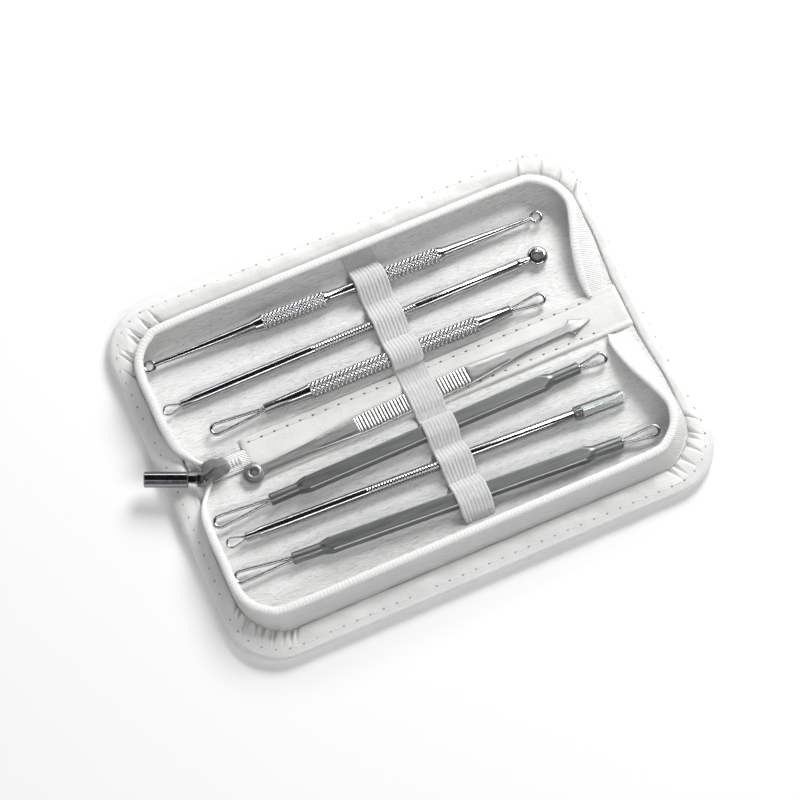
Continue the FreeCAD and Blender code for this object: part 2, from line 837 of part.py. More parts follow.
def make_curette():
    """Double-ended ring curette, turned from one rod with two knurled grips."""
    neck = d.curette_neck_length
    shaft, grip, tip = d.curette_shaft_radius, d.curette_grip_radius, d.curette_tip_radius
    left = d.curette_ring - d.curette_left
    right = d.curette_right - d.curette_ring
    body = make_turned("curette", [
        (left, tip),
        (-d.curette_first_grip_start - neck, shaft),
        (-d.curette_first_grip_start, grip),
        (-d.curette_first_grip_end, grip),
        (neck - d.curette_first_grip_end, shaft),
        (d.curette_second_grip_start - neck, shaft),
        (d.curette_second_grip_start, grip),
        (d.curette_second_grip_end, grip),
        (d.curette_second_grip_end + neck, shaft),
        (right, tip),
    ], False, False)
    for side, x in (("left", -d.curette_left), ("right", d.curette_right)):
        ring = body.newObject("PartDesign::AdditiveTorus", f"curette_{side}_ring")
        support = next(f for f in body.Origin.OriginFeatures if f.Role == "XY_Plane")
        ring.AttachmentSupport = [(support, "")]
        ring.MapMode = "FlatFace"
        ring.setExpression("AttachmentOffset.Base.x", x.text)
        ring.setExpression("Radius1", d.curette_ring.text)
        ring.setExpression("Radius2", d.curette_ring_wire.text)
    set_tool([body], d.curette_y, d.tool_floor + grip, d.curette_yaw)


def make_spoon():
    """Round rod with a pierced pressing head at one end and a small wire ring at the other."""
    rod = make_turned("spoon_handle", [(-d.spoon_left, d.spoon_radius), (d.spoon_right, d.spoon_radius)],
                      True, True)
    ring = make_wire_loop("spoon_ring", -d.spoon_left, d.spoon_ring_reach, d.spoon_ring_half_width, -1)
    head = new_body("spoon_head")
    disc = sketch_on(head, "disc", "XY")
    centre = d.spoon_right + d.spoon_head_reach
    add_circle(disc, centre, ZERO, d.spoon_head_radius)
    pad(head, disc, d.spoon_head_thickness, symmetric=True)
    start = d.spoon_right - d.bore_depth + d.shank_fit
    cylinder_along_x(head, "neck", start, centre - d.spoon_head_hole, d.spoon_neck_radius)
    hole = sketch_on(head, "hole", "XY")
    add_circle(hole, centre, ZERO, d.spoon_head_hole)
    pocket(head, hole)
    set_tool([rod, ring, head], d.spoon_y, d.tool_floor + d.spoon_radius, d.spoon_yaw)


def make_knurled():
    """Knurled round handle that tapers to a wire loop at each end."""
    grip, ferrule = d.knurled_radius, d.knurled_ferrule_radius
    handle = make_turned("knurled_handle", [
        (-d.knurled_left, ferrule),
        (d.knurled_left_taper - d.knurled_left, grip),
        (d.knurled_right - d.knurled_right_taper, grip),
        (d.knurled_right, ferrule),
    ], True, True)
    left = make_wire_loop("knurled_left_loop", -d.knurled_left, d.knurled_left_loop,
                          d.knurled_loop_half_width, -1)
    right = make_wire_loop("knurled_right_loop", d.knurled_right, d.knurled_right_loop,
                           d.knurled_loop_half_width, 1)
    set_tool([handle, left, right], d.knurled_y, d.tool_floor + grip, d.knurled_yaw)


def make_lancet():
    """Flat pressed tool: a rimmed eye at one end, a broad grip and an arrow blade at the other."""
    body = new_body("lancet")
    stem, grip = d.lancet_stem_half_width, d.lancet_grip_half_width
    blade = d.lancet_right - d.lancet_arrow_length
    upper = [
        (-d.lancet_left, stem),
        (-d.lancet_left * GRIP_START_SHARE, grip),
        (d.lancet_right * GRIP_END_SHARE, grip),
        (d.lancet_right * STEM_END_SHARE, stem),
        (blade, stem),
        (blade + d.lancet_barb_length, d.lancet_arrow_half_width),
    ]
    lower = [(x, -y) for x, y in upper]
    plate = sketch_on(body, "plate", "XY")
    add_loop(plate, upper + [(d.lancet_right, ZERO)] + lower[::-1])
    pad(body, plate, d.lancet_thickness)
    eye = sketch_on(body, "eye", "XY")
    add_circle(eye, -d.lancet_left, ZERO, d.lancet_eye_radius)
    pad(body, eye, d.lancet_thickness)
    rim = sketch_on(body, "rim", "XY", d.lancet_thickness)
    add_circle(rim, -d.lancet_left, ZERO, d.lancet_eye_hole + d.lancet_rim_width)
    pad(body, rim, d.lancet_rim_height)
    hole = sketch_on(body, "hole", "XY")
    add_circle(hole, -d.lancet_left, ZERO, d.lancet_eye_hole)
    pocket(body, hole)
    set_tool([body], d.lancet_y, d.strip_top + d.rest_gap, d.lancet_yaw)


def make_square_handle(name, left, right):
    """Square bar turned round at both ends, with a blind bore in each end."""
    body = new_body(name)
    half = d.square_side * HALF_SHARE
    section = sketch_on(body, "section", "YZ", -left)
    add_box(section, -half, half, -half, half)
    pad(body, section, left + right)
    reach = d.square_side * GROOVE_REACH_SHARE
    for end, way, mark in ((-left, 1, "left"), (right, -1, "right")):
        turning = sketch_on(body, f"{mark}_turning", "XZ")
        shoulder = end + way * d.square_ferrule_length
        add_loop(turning, [
            (end - way * d.overrun, d.square_ferrule_radius),
            (shoulder, d.square_ferrule_radius),
            (shoulder + way * d.square_slope_length, reach),
            (end - way * d.overrun, reach),
        ])
        revolve(body, turning, "Groove")
        bore = sketch_on(body, f"{mark}_bore", "YZ", end)
        add_circle(bore, ZERO, ZERO, d.shank_radius + d.shank_fit)
        pocket(body, bore, d.bore_depth, up=way > 0)
    return body


def make_square_tool(name, y, yaw, left, right, left_loop, right_loop, left_half, right_half):
    handle = make_square_handle(f"{name}_handle", left, right)
    first = make_wire_loop(f"{name}_left_loop", -left, left_loop, left_half, -1)
    second = make_wire_loop(f"{name}_right_loop", right, right_loop, right_half, 1)
    set_tool([handle, first, second], y, d.tool_floor + d.square_side * HALF_SHARE, yaw)


def make_needle():
    """Round rod with a wire ring at one end and a capped needle at the other."""
    rod = make_turned("needle_handle", [(-d.needle_left, d.needle_radius), (d.needle_right, d.needle_radius)],
                      True, True)
    ring = make_wire_loop("needle_ring", -d.needle_left, d.needle_ring_reach, d.needle_ring_half_width, -1)
    point = new_body("needle_point")
    profile = sketch_on(point, "profile", "XZ")
    seat = d.needle_right - d.bore_depth + d.shank_fit
    add_loop(profile, [
        (seat, ZERO),
        (seat, d.shank_radius),
        (d.needle_right, d.shank_radius),
        (d.needle_right, d.needle_root_radius),
        (d.needle_right + d.needle_length, ZERO),
    ])
    revolve(point, profile)
    cap = new_body("needle_cap")
    profile = sketch_on(cap, "profile", "XZ")
    mouth = d.needle_right - d.needle_cap_lap
    end = mouth + d.needle_cap_length
    bore = d.needle_radius + d.needle_cap_fit
    add_loop(profile, [
        (mouth, bore),
        (mouth, d.needle_cap_radius),
        (end, d.needle_cap_radius),
        (end, ZERO),
        (end - d.needle_cap_end, ZERO),
        (end - d.needle_cap_end, bore),
    ])
    revolve(cap, profile)
    set_tool([rod, ring, point, cap], d.needle_y, d.tool_floor + d.needle_cap_radius, d.needle_yaw)


def make_tools():
    make_curette()
    make_spoon()
    make_knurled()
    make_lancet()
    make_square_tool("upper", d.upper_y, d.upper_yaw, d.upper_left, d.upper_right, d.upper_left_loop,
                     d.upper_right_loop, d.upper_left_half_width, d.upper_right_half_width)
    make_needle()
    make_square_tool("lower", d.lower_y, d.lower_yaw, d.lower_left, d.lower_right, d.lower_left_loop,
                     d.lower_right_loop, d.lower_left_half_width, d.lower_right_half_width)


def check_document():
    for item in doc.Objects:
        if "Invalid" in item.State or "Error" in item.State:
            raise RuntimeError(f"{item.Name} failed: {item.State}")
    for body in nodes:
        shape = body.Shape
        if shape.isNull() or not shape.isValid() or len(shape.Solids) != 1:
            raise RuntimeError(f"{body.Label} is not one valid solid")


def export():
    os.makedirs("parts", exist_ok=True)
    for body in nodes:
        body.Shape.exportStep(f"parts/{body.Label}.step")


def main():
    fill_sheet()
    set_levels()
    set_places()
    make_half(1, "far")
    make_half(-1, "near")
    make_spine()
    make_zip_tail()
    slider_top = make_slider()
    make_bridge(slider_top)
    make_pull(slider_top)
    make_straps()
    make_tools()
    doc.recompute()
    check_document()
    export()


main()
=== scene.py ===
import math
import random

import bmesh
import bpy
import numpy as np
from mathutils import Matrix, Vector, noise


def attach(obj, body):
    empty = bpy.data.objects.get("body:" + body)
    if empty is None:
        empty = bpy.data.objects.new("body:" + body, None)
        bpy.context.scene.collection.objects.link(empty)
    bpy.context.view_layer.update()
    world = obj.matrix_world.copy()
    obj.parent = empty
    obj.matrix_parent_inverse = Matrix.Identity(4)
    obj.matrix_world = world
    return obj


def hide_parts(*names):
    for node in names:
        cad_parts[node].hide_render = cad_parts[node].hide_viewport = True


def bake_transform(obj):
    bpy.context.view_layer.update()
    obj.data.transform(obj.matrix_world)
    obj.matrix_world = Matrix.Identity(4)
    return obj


# Open zip case with seven skin extractor tools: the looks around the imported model.
# Lengths are in millimetres, and in metres for the floor, the lamps and the camera's clipping.
# A form of unevenness is (height, size, seed).

MM = 0.001
FULL_TURN = 2 * math.pi
UP = Vector((0, 0, 1))
ON_END = Matrix.Rotation(math.radians(90), 4, "Y")

HALF_LENGTH = 75.0
OUTER_EDGE = 58.0
CORNER = 16.0
SEAM_SIDE = 69.5
SEAM_FAR = 50.0
SEAM_CORNER = 14.0
LIP_LEFT = 69.2
LIP_RIGHT = 66.5
LIP_FAR = 46.5
LIP_CORNER = 12.5
LIP_TOP = 10.2
BORDER_TOP = 3.8
LINING_TOP = 3.6
STRIP_TOP = 4.2
STRIP_LEFT = -50.2
STRIP_RIGHT = 68.2
STRIP_NEAR = -6.0
STRIP_FAR = 7.6
CREASE = 8.2
STITCH_PITCH = 4.0
STRAP_X = 3.5
STRAP_WIDTH = 9.6
STRAP_THICKNESS = 0.6
STRETCHED_SHARE = 0.6

# y, height and yaw of each tool's own axis at the strap
CURETTE = (36.2, 6.0, -1.2)
SPOON = (23.707, 5.3, 0.2)
KNURLED = (11.8, 6.0, -0.6)
LANCET = (-1.9, 4.3, 2.1)
UPPER = (-12.9, 5.8, 0.5)
NEEDLE = (-23.4, 5.85, -2.4)
LOWER = (-35.1, 5.8, -3.5)

# Angles in degrees from which an edge is drawn sharp
CLOTH_ANGLE = 80.0
SOFT_ANGLE = 60.0
ROD_ANGLE = 50.0
USUAL_ANGLE = 40.0
PLATE_ANGLE = 35.0
BAR_ANGLE = 12.0

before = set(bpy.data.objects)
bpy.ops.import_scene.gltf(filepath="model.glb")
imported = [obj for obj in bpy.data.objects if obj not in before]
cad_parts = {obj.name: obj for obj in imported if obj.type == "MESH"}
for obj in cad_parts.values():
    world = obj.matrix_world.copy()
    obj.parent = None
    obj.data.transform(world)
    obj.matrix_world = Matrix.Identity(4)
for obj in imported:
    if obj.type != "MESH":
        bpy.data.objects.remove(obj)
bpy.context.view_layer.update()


# Shapes

BEAD_TIP_SHARE = 0.02
BEAD_SIDES = 8
BEAD_LEVELS = 4
SPLINE_STEPS = 24


class Shape:
    """Points in millimetres and faces with a material number each."""

    def __init__(self):
        self.points = []
        self.faces = []
        self.slots = []

    def grid(self, rows, around=False, slot=0):
        start = len(self.points)
        width = len(rows[0])
        for row in rows:
            self.points.extend(row)
        last = width if around else width - 1
        for r in range(len(rows) - 1):
            for c in range(last):
                a = start + r * width + c
                b = start + r * width + (c + 1) % width
                self.faces.append((a, b, b + width, a + width))
                self.slots.append(slot)
        return start

    def face(self, indices, slot=0):
        self.faces.append(tuple(indices))
        self.slots.append(slot)

    def rings(self, rows, slot=0, caps=True):
        """A closed skin over rings, with a flat face over each end."""
        start = self.grid(rows, True, slot)
        if caps:
            width = len(rows[0])
            last = start + (len(rows) - 1) * width
            self.face(range(start, start + width), slot)
            self.face(range(last, last + width), slot)

    def piece(self, name, materials, sharp=USUAL_ANGLE):
        mesh = bpy.data.meshes.new(name)
        mesh.from_pydata([[c * MM for c in p] for p in self.points], [], self.faces)
        for material in materials:
            mesh.materials.append(material)
        mesh.polygons.foreach_set("material_index", self.slots)
        cleaner = bmesh.new()
        cleaner.from_mesh(mesh)
        bmesh.ops.recalc_face_normals(cleaner, faces=cleaner.faces)
        cleaner.to_mesh(mesh)
        cleaner.free()
        mesh.polygons.foreach_set("use_smooth", [True] * len(mesh.polygons))
        mesh.set_sharp_from_angle(angle=math.radians(sharp))
        piece = bpy.data.objects.new(name, mesh)
        bpy.context.scene.collection.objects.link(piece)
        return piece


def tool_place(tool):
    y, height, yaw = tool
    return Matrix.Translation((STRAP_X, y, height)) @ Matrix.Rotation(math.radians(yaw), 4, "Z")


def turns(sides):
    """Even angles round one full turn."""
    return [FULL_TURN * step / sides for step in range(sides)]


def lathe(shape, profile, sides, place, relief=None, caps=True):
    """Turned form along X through (x, radius) points; relief(x, angle) is added to the radius."""
    rows = []
    for x, radius in profile:
        row = []
        for angle in turns(sides):
            reach = radius + (relief(x, angle) if relief else 0.0)
            row.append(place @ Vector((x, reach * math.cos(angle), reach * math.sin(angle))))
        rows.append(row)
    shape.rings(rows, caps=caps)


def turned_ring(shape, section, sides, place):
    """Ring lying level, through the (radius, height) points of its section."""
    profile = [(-height, radius) for radius, height in section + section[:1]]
    lathe(shape, profile, sides, place @ ON_END, caps=False)


def tube(shape, path, radius, sides, place, closed=False):
    """Round wire along a level path."""
    points = [Vector(p) for p in path]
    count = len(points)
    rows = []
    for n, point in enumerate(points):
        before = points[n - 1] if n or closed else point
        after = points[(n + 1) % count] if n + 1 < count or closed else point
        side = UP.cross((after - before).normalized()).normalized()
        row = []
        for angle in turns(sides):
            row.append(place @ (point + side * radius * math.cos(angle) + UP * radius * math.sin(angle)))
        rows.append(row)
    if closed:
        rows.append(rows[0])
    shape.rings(rows, caps=not closed)


def bead(shape, centre, along, across, up, slot, sides=BEAD_SIDES, levels=BEAD_LEVELS):
    """Small rounded lump with three half axes given as vectors."""
    rows = []
    for level in range(levels + 1):
        lean = math.pi * level / levels
        reach = max(math.sin(lean), BEAD_TIP_SHARE)
        row = []
        for angle in turns(sides):
            spoke = across * math.cos(angle) + up * math.sin(angle)
            row.append(centre + along * math.cos(lean) + spoke * reach)
        rows.append(row)
    shape.rings(rows, slot)


def spline(points, step):
    """Smooth line through the points, at even steps."""
    points = np.array(points, float)
    padded = np.vstack([2 * points[0] - points[1], points, 2 * points[-1] - points[-2]])
    fine = []
    for n in range(1, len(padded) - 2):
        p0, p1, p2, p3 = padded[n - 1:n + 3]
        for t in np.linspace(0, 1, SPLINE_STEPS, endpoint=False):
            fine.append(0.5 * (2 * p1 + (p2 - p0) * t + (2 * p0 - 5 * p1 + 4 * p2 - p3) * t ** 2
                               + (3 * p1 - p0 - 3 * p2 + p3) * t ** 3))
    fine.append(points[-1])
    return resample(fine, step)


def resample(line, step):
    """The same line with even steps."""
    line = np.array(line, float)
    runs = np.linalg.norm(np.diff(line, axis=0), axis=1)
    reach = np.concatenate([[0.0], np.cumsum(runs)])
    count = max(int(reach[-1] / step), 2)
    marks = np.linspace(0, reach[-1], count + 1)
    return np.stack([np.interp(marks, reach, line[:, k]) for k in range(line.shape[1])], axis=1)


def stations(spans):
    """Places along a line, from (start, end, count) spans."""
    return np.concatenate([np.linspace(*span) for span in spans])


def smooth_step(value):
    value = min(max(value, 0.0), 1.0)
    return value * value * (3 - 2 * value)


def signed_power(value, power):
    return math.copysign(abs(value) ** power, value)


def ripple(form, x, y):
    """Soft unevenness; its form is (height, size, seed)."""
    height, size, seed = form
    return height * noise.noise(Vector((x / size, y / size, seed)))


# Materials

WAVE_DISTORTION = 0.6
NOISE_DETAIL = 3.0
DENT_DETAIL = 4.0
MIDDLE_SPAN = (0.3, 0.7)
# Heights of the bumps
LEATHER_PUCKER = 0.25
LEATHER_GRAIN = 0.05
STRIP_PUCKER = 0.12
STRIP_GRAIN = 0.03
LINING_DENT = 0.45
LINING_FIBRE = 0.1
TWILL_RIDGE = 0.12
TWILL_ROW = 0.06
WEBBING_ROW = 0.05
STEEL_SCRATCH = 0.01
SATIN_SCRATCH = 0.015
BRUSHED_SCRATCH = 0.012


def even(scale):
    return (scale, scale, scale)


class Look:
    """A material, with textures that vary its colour, roughness and relief."""

    def __init__(self, name, colour, roughness, metallic=0.0):
        self.material = bpy.data.materials.new(name)
        self.material.use_nodes = True
        self.tree = self.material.node_tree
        self.shader = self.tree.nodes["Principled BSDF"]
        self.set("Base Color", (*colour, 1.0))
        self.set("Roughness", roughness)
        self.set("Metallic", metallic)

    def set(self, socket, value):
        self.shader.inputs[socket].default_value = value

    def texture(self, kind, stretch):
        """Texture over object coordinates in millimetres, stretched along each axis."""
        place = self.tree.nodes.new("ShaderNodeTexCoord")
        mapping = self.tree.nodes.new("ShaderNodeMapping")
        mapping.inputs["Scale"].default_value = [s / MM for s in stretch]
        texture = self.tree.nodes.new(f"ShaderNodeTex{kind}")
        texture.inputs["Scale"].default_value = 1.0
        self.tree.links.new(place.outputs["Object"], mapping.inputs["Vector"])
        self.tree.links.new(mapping.outputs["Vector"], texture.inputs["Vector"])
        return texture

    def noise(self, stretch, detail=NOISE_DETAIL):
        texture = self.texture("Noise", stretch)
        texture.inputs["Detail"].default_value = detail
        return texture.outputs["Fac"]

    def cells(self, stretch):
        return self.texture("Voronoi", stretch).outputs["Distance"]

    def waves(self, stretch, direction):
        texture = self.texture("Wave", stretch)
        texture.bands_direction = direction
        texture.inputs["Distortion"].default_value = WAVE_DISTORTION
        return texture.outputs["Fac"]

    def vary(self, socket, field, low, high, span=MIDDLE_SPAN):
        """The socket goes from low to high with the field."""
        ramp = self.tree.nodes.new("ShaderNodeValToRGB")
        for stop, value, position in zip(ramp.color_ramp.elements, (low, high), span):
            colour = value if isinstance(value, tuple) else even(value)
            stop.color = (*colour, 1.0)
            stop.position = position
        self.tree.links.new(field, ramp.inputs["Fac"])
        self.tree.links.new(ramp.outputs["Color"], self.shader.inputs[socket])

    def tint(self, stretch, low, high):
        self.vary("Base Color", self.noise(stretch), low, high)

    def gloss(self, stretch, low, high):
        self.vary("Roughness", self.noise(stretch), low, high)

    def relief(self, *bumps):
        """Bumps one over the other; each is (field, height in millimetres)."""
        normal = None
        for field, height in bumps:
            bump = self.tree.nodes.new("ShaderNodeBump")
            bump.inputs["Strength"].default_value = 1.0
            bump.inputs["Distance"].default_value = height * MM
            self.tree.links.new(field, bump.inputs["Height"])
            if normal is not None:
                self.tree.links.new(normal, bump.inputs["Normal"])
            normal = bump.outputs["Normal"]
        self.tree.links.new(normal, self.shader.inputs["Normal"])


def leather_material():
    look = Look("white_leatherette", (0.84, 0.84, 0.83), 0.34)
    look.set("Coat Weight", 0.25)
    look.set("Coat Roughness", 0.2)
    look.tint(even(0.06), (0.76, 0.76, 0.75), (0.82, 0.82, 0.81))
    look.gloss(even(0.4), 0.28, 0.42)
    look.relief((look.noise(even(0.25)), LEATHER_PUCKER), (look.cells(even(1.4)), LEATHER_GRAIN))
    return look.material


def strip_material():
    look = Look("strip_leatherette", (0.82, 0.82, 0.80), 0.45)
    look.tint((0.08, 0.2, 0.2), (0.68, 0.68, 0.66), (0.75, 0.75, 0.73))
    look.gloss(even(0.5), 0.4, 0.55)
    look.relief((look.noise(even(0.3)), STRIP_PUCKER), (look.cells(even(1.6)), STRIP_GRAIN))
    return look.material


def lining_material():
    look = Look("brushed_lining", (0.80, 0.80, 0.79), 0.9)
    look.set("Sheen Weight", 0.25)
    look.set("Sheen Roughness", 0.5)
    dents_and_shade = look.noise((0.55, 2.2, 1.0), DENT_DETAIL)
    # The dents field both dents the cloth and darkens its colour there: painted shade in the dents.
    look.vary("Base Color", dents_and_shade, (0.86, 0.86, 0.85), (0.66, 0.66, 0.66), (0.55, 0.72))
    look.gloss(even(1.5), 0.82, 0.98)
    look.relief((dents_and_shade, LINING_DENT), (look.noise((3.0, 6.0, 4.0)), LINING_FIBRE))
    return look.material


def tape_material():
    look = Look("woven_tape", (0.80, 0.80, 0.79), 0.8)
    look.set("Sheen Weight", 0.2)
    twill_and_shade = look.waves(even(0.7), "DIAGONAL")
    # The twill field both ridges the tape and darkens its grooves: painted shade in the weave.
    look.vary("Base Color", twill_and_shade, (0.72, 0.72, 0.71), (0.84, 0.84, 0.83), (0.1, 0.6))
    look.gloss(even(2.0), 0.72, 0.9)
    look.relief((twill_and_shade, TWILL_RIDGE), (look.waves(even(1.0), "Z"), TWILL_ROW))
    return look.material


def coil_material():
    look = Look("nylon_coil", (0.82, 0.82, 0.81), 0.45)
    look.tint(even(1.0), (0.78, 0.78, 0.77), (0.84, 0.84, 0.83))
    look.gloss(even(2.0), 0.38, 0.55)
    return look.material


def elastic_material():
    look = Look("elastic_webbing", (0.84, 0.84, 0.84), 0.7)
    look.set("Sheen Weight", 0.2)
    look.tint((3.0, 0.5, 0.5), (0.78, 0.78, 0.79), (0.87, 0.87, 0.87))
    look.gloss(even(2.0), 0.6, 0.8)
    look.relief((look.waves((1.0, 3.2, 3.2), "Y"), WEBBING_ROW))
    return look.material


def thread_material():
    look = Look("sewing_thread", (0.80, 0.80, 0.79), 0.6)
    look.tint(even(4.0), (0.72, 0.72, 0.71), (0.84, 0.84, 0.83))
    return look.material


# Dark material for the needle holes: painted shade inside the holes.
def hole_shade_material(name, dark, pale):
    look = Look(name, dark, 0.9)
    look.tint(even(2.0), dark, pale)
    return look.material


def steel_material():
    look = Look("polished_steel", (0.60, 0.60, 0.61), 0.14, 1.0)
    look.tint((0.05, 0.4, 0.4), (0.38, 0.38, 0.39), (0.50, 0.50, 0.51))
    look.gloss((0.3, 3.0, 3.0), 0.10, 0.20)
    look.relief((look.noise((0.12, 5.0, 5.0)), STEEL_SCRATCH))
    return look.material


def satin_material():
    look = Look("satin_steel", (0.36, 0.37, 0.37), 0.4, 1.0)
    look.tint((0.05, 2.0, 2.0), (0.17, 0.174, 0.174), (0.24, 0.244, 0.244))
    look.gloss((0.2, 4.0, 4.0), 0.34, 0.48)
    look.relief((look.noise((0.08, 6.0, 6.0)), SATIN_SCRATCH))
    return look.material


def brushed_material():
    look = Look("brushed_steel", (0.72, 0.72, 0.72), 0.36, 1.0)
    look.tint((0.1, 1.5, 1.5), (0.38, 0.38, 0.39), (0.48, 0.48, 0.48))
    look.gloss((0.3, 4.0, 4.0), 0.3, 0.45)
    look.relief((look.noise((0.12, 5.0, 5.0)), BRUSHED_SCRATCH))
    return look.material


# Brighter copy of the satin steel for the square bars' bevels: a painted highlight along their edges.
def edge_highlight_material():
    look = Look("edge_painted_highlight", (0.8, 0.8, 0.8), 0.4, 1.0)
    look.gloss((0.3, 4.0, 4.0), 0.34, 0.48)
    return look.material


def slider_material():
    look = Look("slider_grey", (0.20, 0.20, 0.205), 0.45, 0.6)
    look.tint(even(0.6), (0.16, 0.16, 0.165), (0.24, 0.24, 0.245))
    look.gloss(even(1.5), 0.38, 0.55)
    return look.material


def pull_material():
    look = Look("dark_chrome", (0.30, 0.30, 0.31), 0.12, 1.0)
    look.tint(even(0.2), (0.26, 0.26, 0.27), (0.34, 0.34, 0.35))
    look.gloss(even(1.0), 0.08, 0.18)
    return look.material


def cap_material():
    look = Look("clear_plastic", (0.94, 0.965, 0.965), 0.1)
    look.set("Transmission Weight", 0.95)
    look.set("IOR", 1.46)
    look.gloss(even(0.8), 0.06, 0.14)
    return look.material


def board_material():
    look = Look("stiff_board", (0.62, 0.60, 0.56), 0.9)
    look.tint(even(1.0), (0.55, 0.53, 0.50), (0.66, 0.64, 0.60))
    return look.material


LEATHER = leather_material()
STRIP = strip_material()
LINING = lining_material()
TAPE = tape_material()
COIL = coil_material()
ELASTIC = elastic_material()
THREAD = thread_material()
# Painted shade inside the needle holes: darker on the strip, paler on the border.
HOLE_SHADE = hole_shade_material("stitch_hole_shade", (0.05, 0.05, 0.05), (0.22, 0.22, 0.21))
PUNCH_SHADE = hole_shade_material("needle_punch_shade", (0.22, 0.22, 0.21), (0.5, 0.5, 0.49))
STEEL = steel_material()
SATIN = satin_material()
BRUSHED = brushed_material()
EDGE_HIGHLIGHT = edge_highlight_material()
SLIDER = slider_material()
PULL = pull_material()
CAP = cap_material()
BOARD = board_material()


# Stitches, which have the second and third material of their piece

HOLE_SHADE_SLOT = 1
THREAD_SLOT = 2
STITCH_SIDES = 6
HOLE_HALF_LENGTH = 0.42
HOLE_HALF_WIDTH = 0.26
HOLE_HALF_HEIGHT = 0.1
HOLE_LIFT = 0.03
THREAD_HALF_LENGTH_SHARE = 0.36
THREAD_HALF_WIDTH = 0.2
THREAD_HALF_HEIGHT = 0.13
THREAD_LIFT = 0.02
THREAD_LEVELS = 6
HALF_SHARE = 0.5


def stitch(shape, point, way):
    """One sewn stitch: a needle hole, drawn as a dark bead of painted shade, and the thread that leaves it.
    """
    across = Vector((-way.y, way.x, 0))
    bead(shape, point + UP * HOLE_LIFT, way * HOLE_HALF_LENGTH, across * HOLE_HALF_WIDTH,
         UP * HOLE_HALF_HEIGHT, HOLE_SHADE_SLOT, STITCH_SIDES)
    middle = point + way * STITCH_PITCH * HALF_SHARE
    bead(shape, middle + UP * THREAD_LIFT, way * STITCH_PITCH * THREAD_HALF_LENGTH_SHARE,
         across * THREAD_HALF_WIDTH, UP * THREAD_HALF_HEIGHT, THREAD_SLOT, STITCH_SIDES, THREAD_LEVELS)


# Leatherette skin of the case: border, rim and underside

STRAIGHT = OUTER_EDGE - CORNER
SEAM_STRAIGHT = SEAM_FAR - SEAM_CORNER
SEAM_LEFT_AT_CREASE = 67.0
SEAM_RIGHT_AT_CREASE = 68.2
SEAM_LEFT_RUN = 12.0
SEAM_RIGHT_RUN = 18.0
SIDE_STEPS = 60
ARC_STEPS = 170
FAR_STEPS = 110

# Inset from the outer edge and height, from the border's top round to the underside
RIM = ((2.4, 3.95), (1.5, 3.75), (0.8, 3.4), (0.25, 2.9), (0.0, 2.35), (0.1, 1.8), (0.5, 1.25), (1.1, 0.75),
       (1.8, 0.35), (2.6, 0.1), (3.6, 0.02), (5.0, 0.05))
RIM_START_INSET, RIM_START_HEIGHT = RIM[0]
RIM_WAVE = (0.12, 6.0, 7.0)
RIM_WAVE_ABOVE = 0.5
RIM_LOWEST = 0.01

TOP_STEPS = 14
TOP_SPREAD_POWER = 0.85
SEAM_TUCK = 3.05
SEAM_TUCK_SHARE = 0.06
CROWN = 0.4
CROWN_CHANGE = (1.2, 8.0, 3.0)
DENT = (0.12, 4.0, 0.0)
BORDER_STITCH_INSET = 3.0
BORDER_STITCH_LEVEL = 4.02

PLEATS = {("near", -1): 11, ("near", 1): 7, ("far", -1): 7, ("far", 1): 4}
PLEAT_DEPTH = 1.7
PLEAT_HALF_WIDTH = 0.26
PLEAT_SPREAD = 0.5
PLEAT_PLACE_SHARES = (0.2, 0.8)
PLEAT_DEPTH_SHARES = (0.6, 1.0)
PLEAT_LENGTH_SHARES = (0.6, 1.1)

UNDERSIDE_INSET = 3.0
UNDERSIDE_LEVEL = 0.03
UNDERSIDE_SPANS = ((0.0, 5.0, 4), (5.4, 11.5, 27), (13.0, OUTER_EDGE - UNDERSIDE_INSET, 40))
UNDERSIDE_COLUMNS = 50


def seam_x(y, left):
    """Inner edge of the border on the left or right side, at a distance y from the spine's middle."""
    start = SEAM_LEFT_AT_CREASE if left else SEAM_RIGHT_AT_CREASE
    run = SEAM_LEFT_RUN if left else SEAM_RIGHT_RUN
    return start + (SEAM_SIDE - start) * smooth_step((y - CREASE) / run)


def corner_point(way, side, far, radius, turn):
    """Point of a rounded corner, from the side at turn 0 to the far edge at a quarter turn."""
    return way * (side - radius + radius * math.cos(turn)), far - radius + radius * math.sin(turn)


def corner_marks(name, way):
    """Where the pleats of one rounded corner lie along it, and how deep and long each is, as shares."""
    picker = random.Random(f"{name}{way}")
    count = PLEATS[(name, way)]
    marks = []
    for n in range(count):
        place = (n + picker.uniform(*PLEAT_PLACE_SHARES)) / count
        depth = picker.uniform(*PLEAT_DEPTH_SHARES)
        marks.append((place, depth, picker.uniform(*PLEAT_LENGTH_SHARES)))
    return marks


def pleat(place, share):
    """Depth of the nearest folds at a share of the border, from the seam at 0 to the rim at 1."""
    if place is None:
        return 0.0
    along, marks = place
    total = 0.0
    for mark, depth, length in marks:
        gap = (along - mark) * CORNER * math.pi / 2
        width = PLEAT_HALF_WIDTH + PLEAT_SPREAD * (1 - share) ** 2
        total += depth * math.exp(-((gap / width) ** 2)) * (1 - smooth_step(share / length))
    return min(total, 1.0)


def outline_side(way):
    rows = []
    for n in range(SIDE_STEPS):
        share = n / SIDE_STEPS
        inner = share * SEAM_STRAIGHT
        rows.append(((way * HALF_LENGTH, share * STRAIGHT), (way * seam_x(inner, way < 0), inner), None))
    return rows


def outline_corner(name, way):
    rows = []
    marks = corner_marks(name, way)
    for n in range(ARC_STEPS + 1):
        share = n / ARC_STEPS
        turn = share * math.pi / 2
        outer = corner_point(way, HALF_LENGTH, OUTER_EDGE, CORNER, turn)
        inner = corner_point(way, SEAM_SIDE, SEAM_FAR, SEAM_CORNER, turn)
        rows.append((outer, inner, (share, marks)))
    return rows


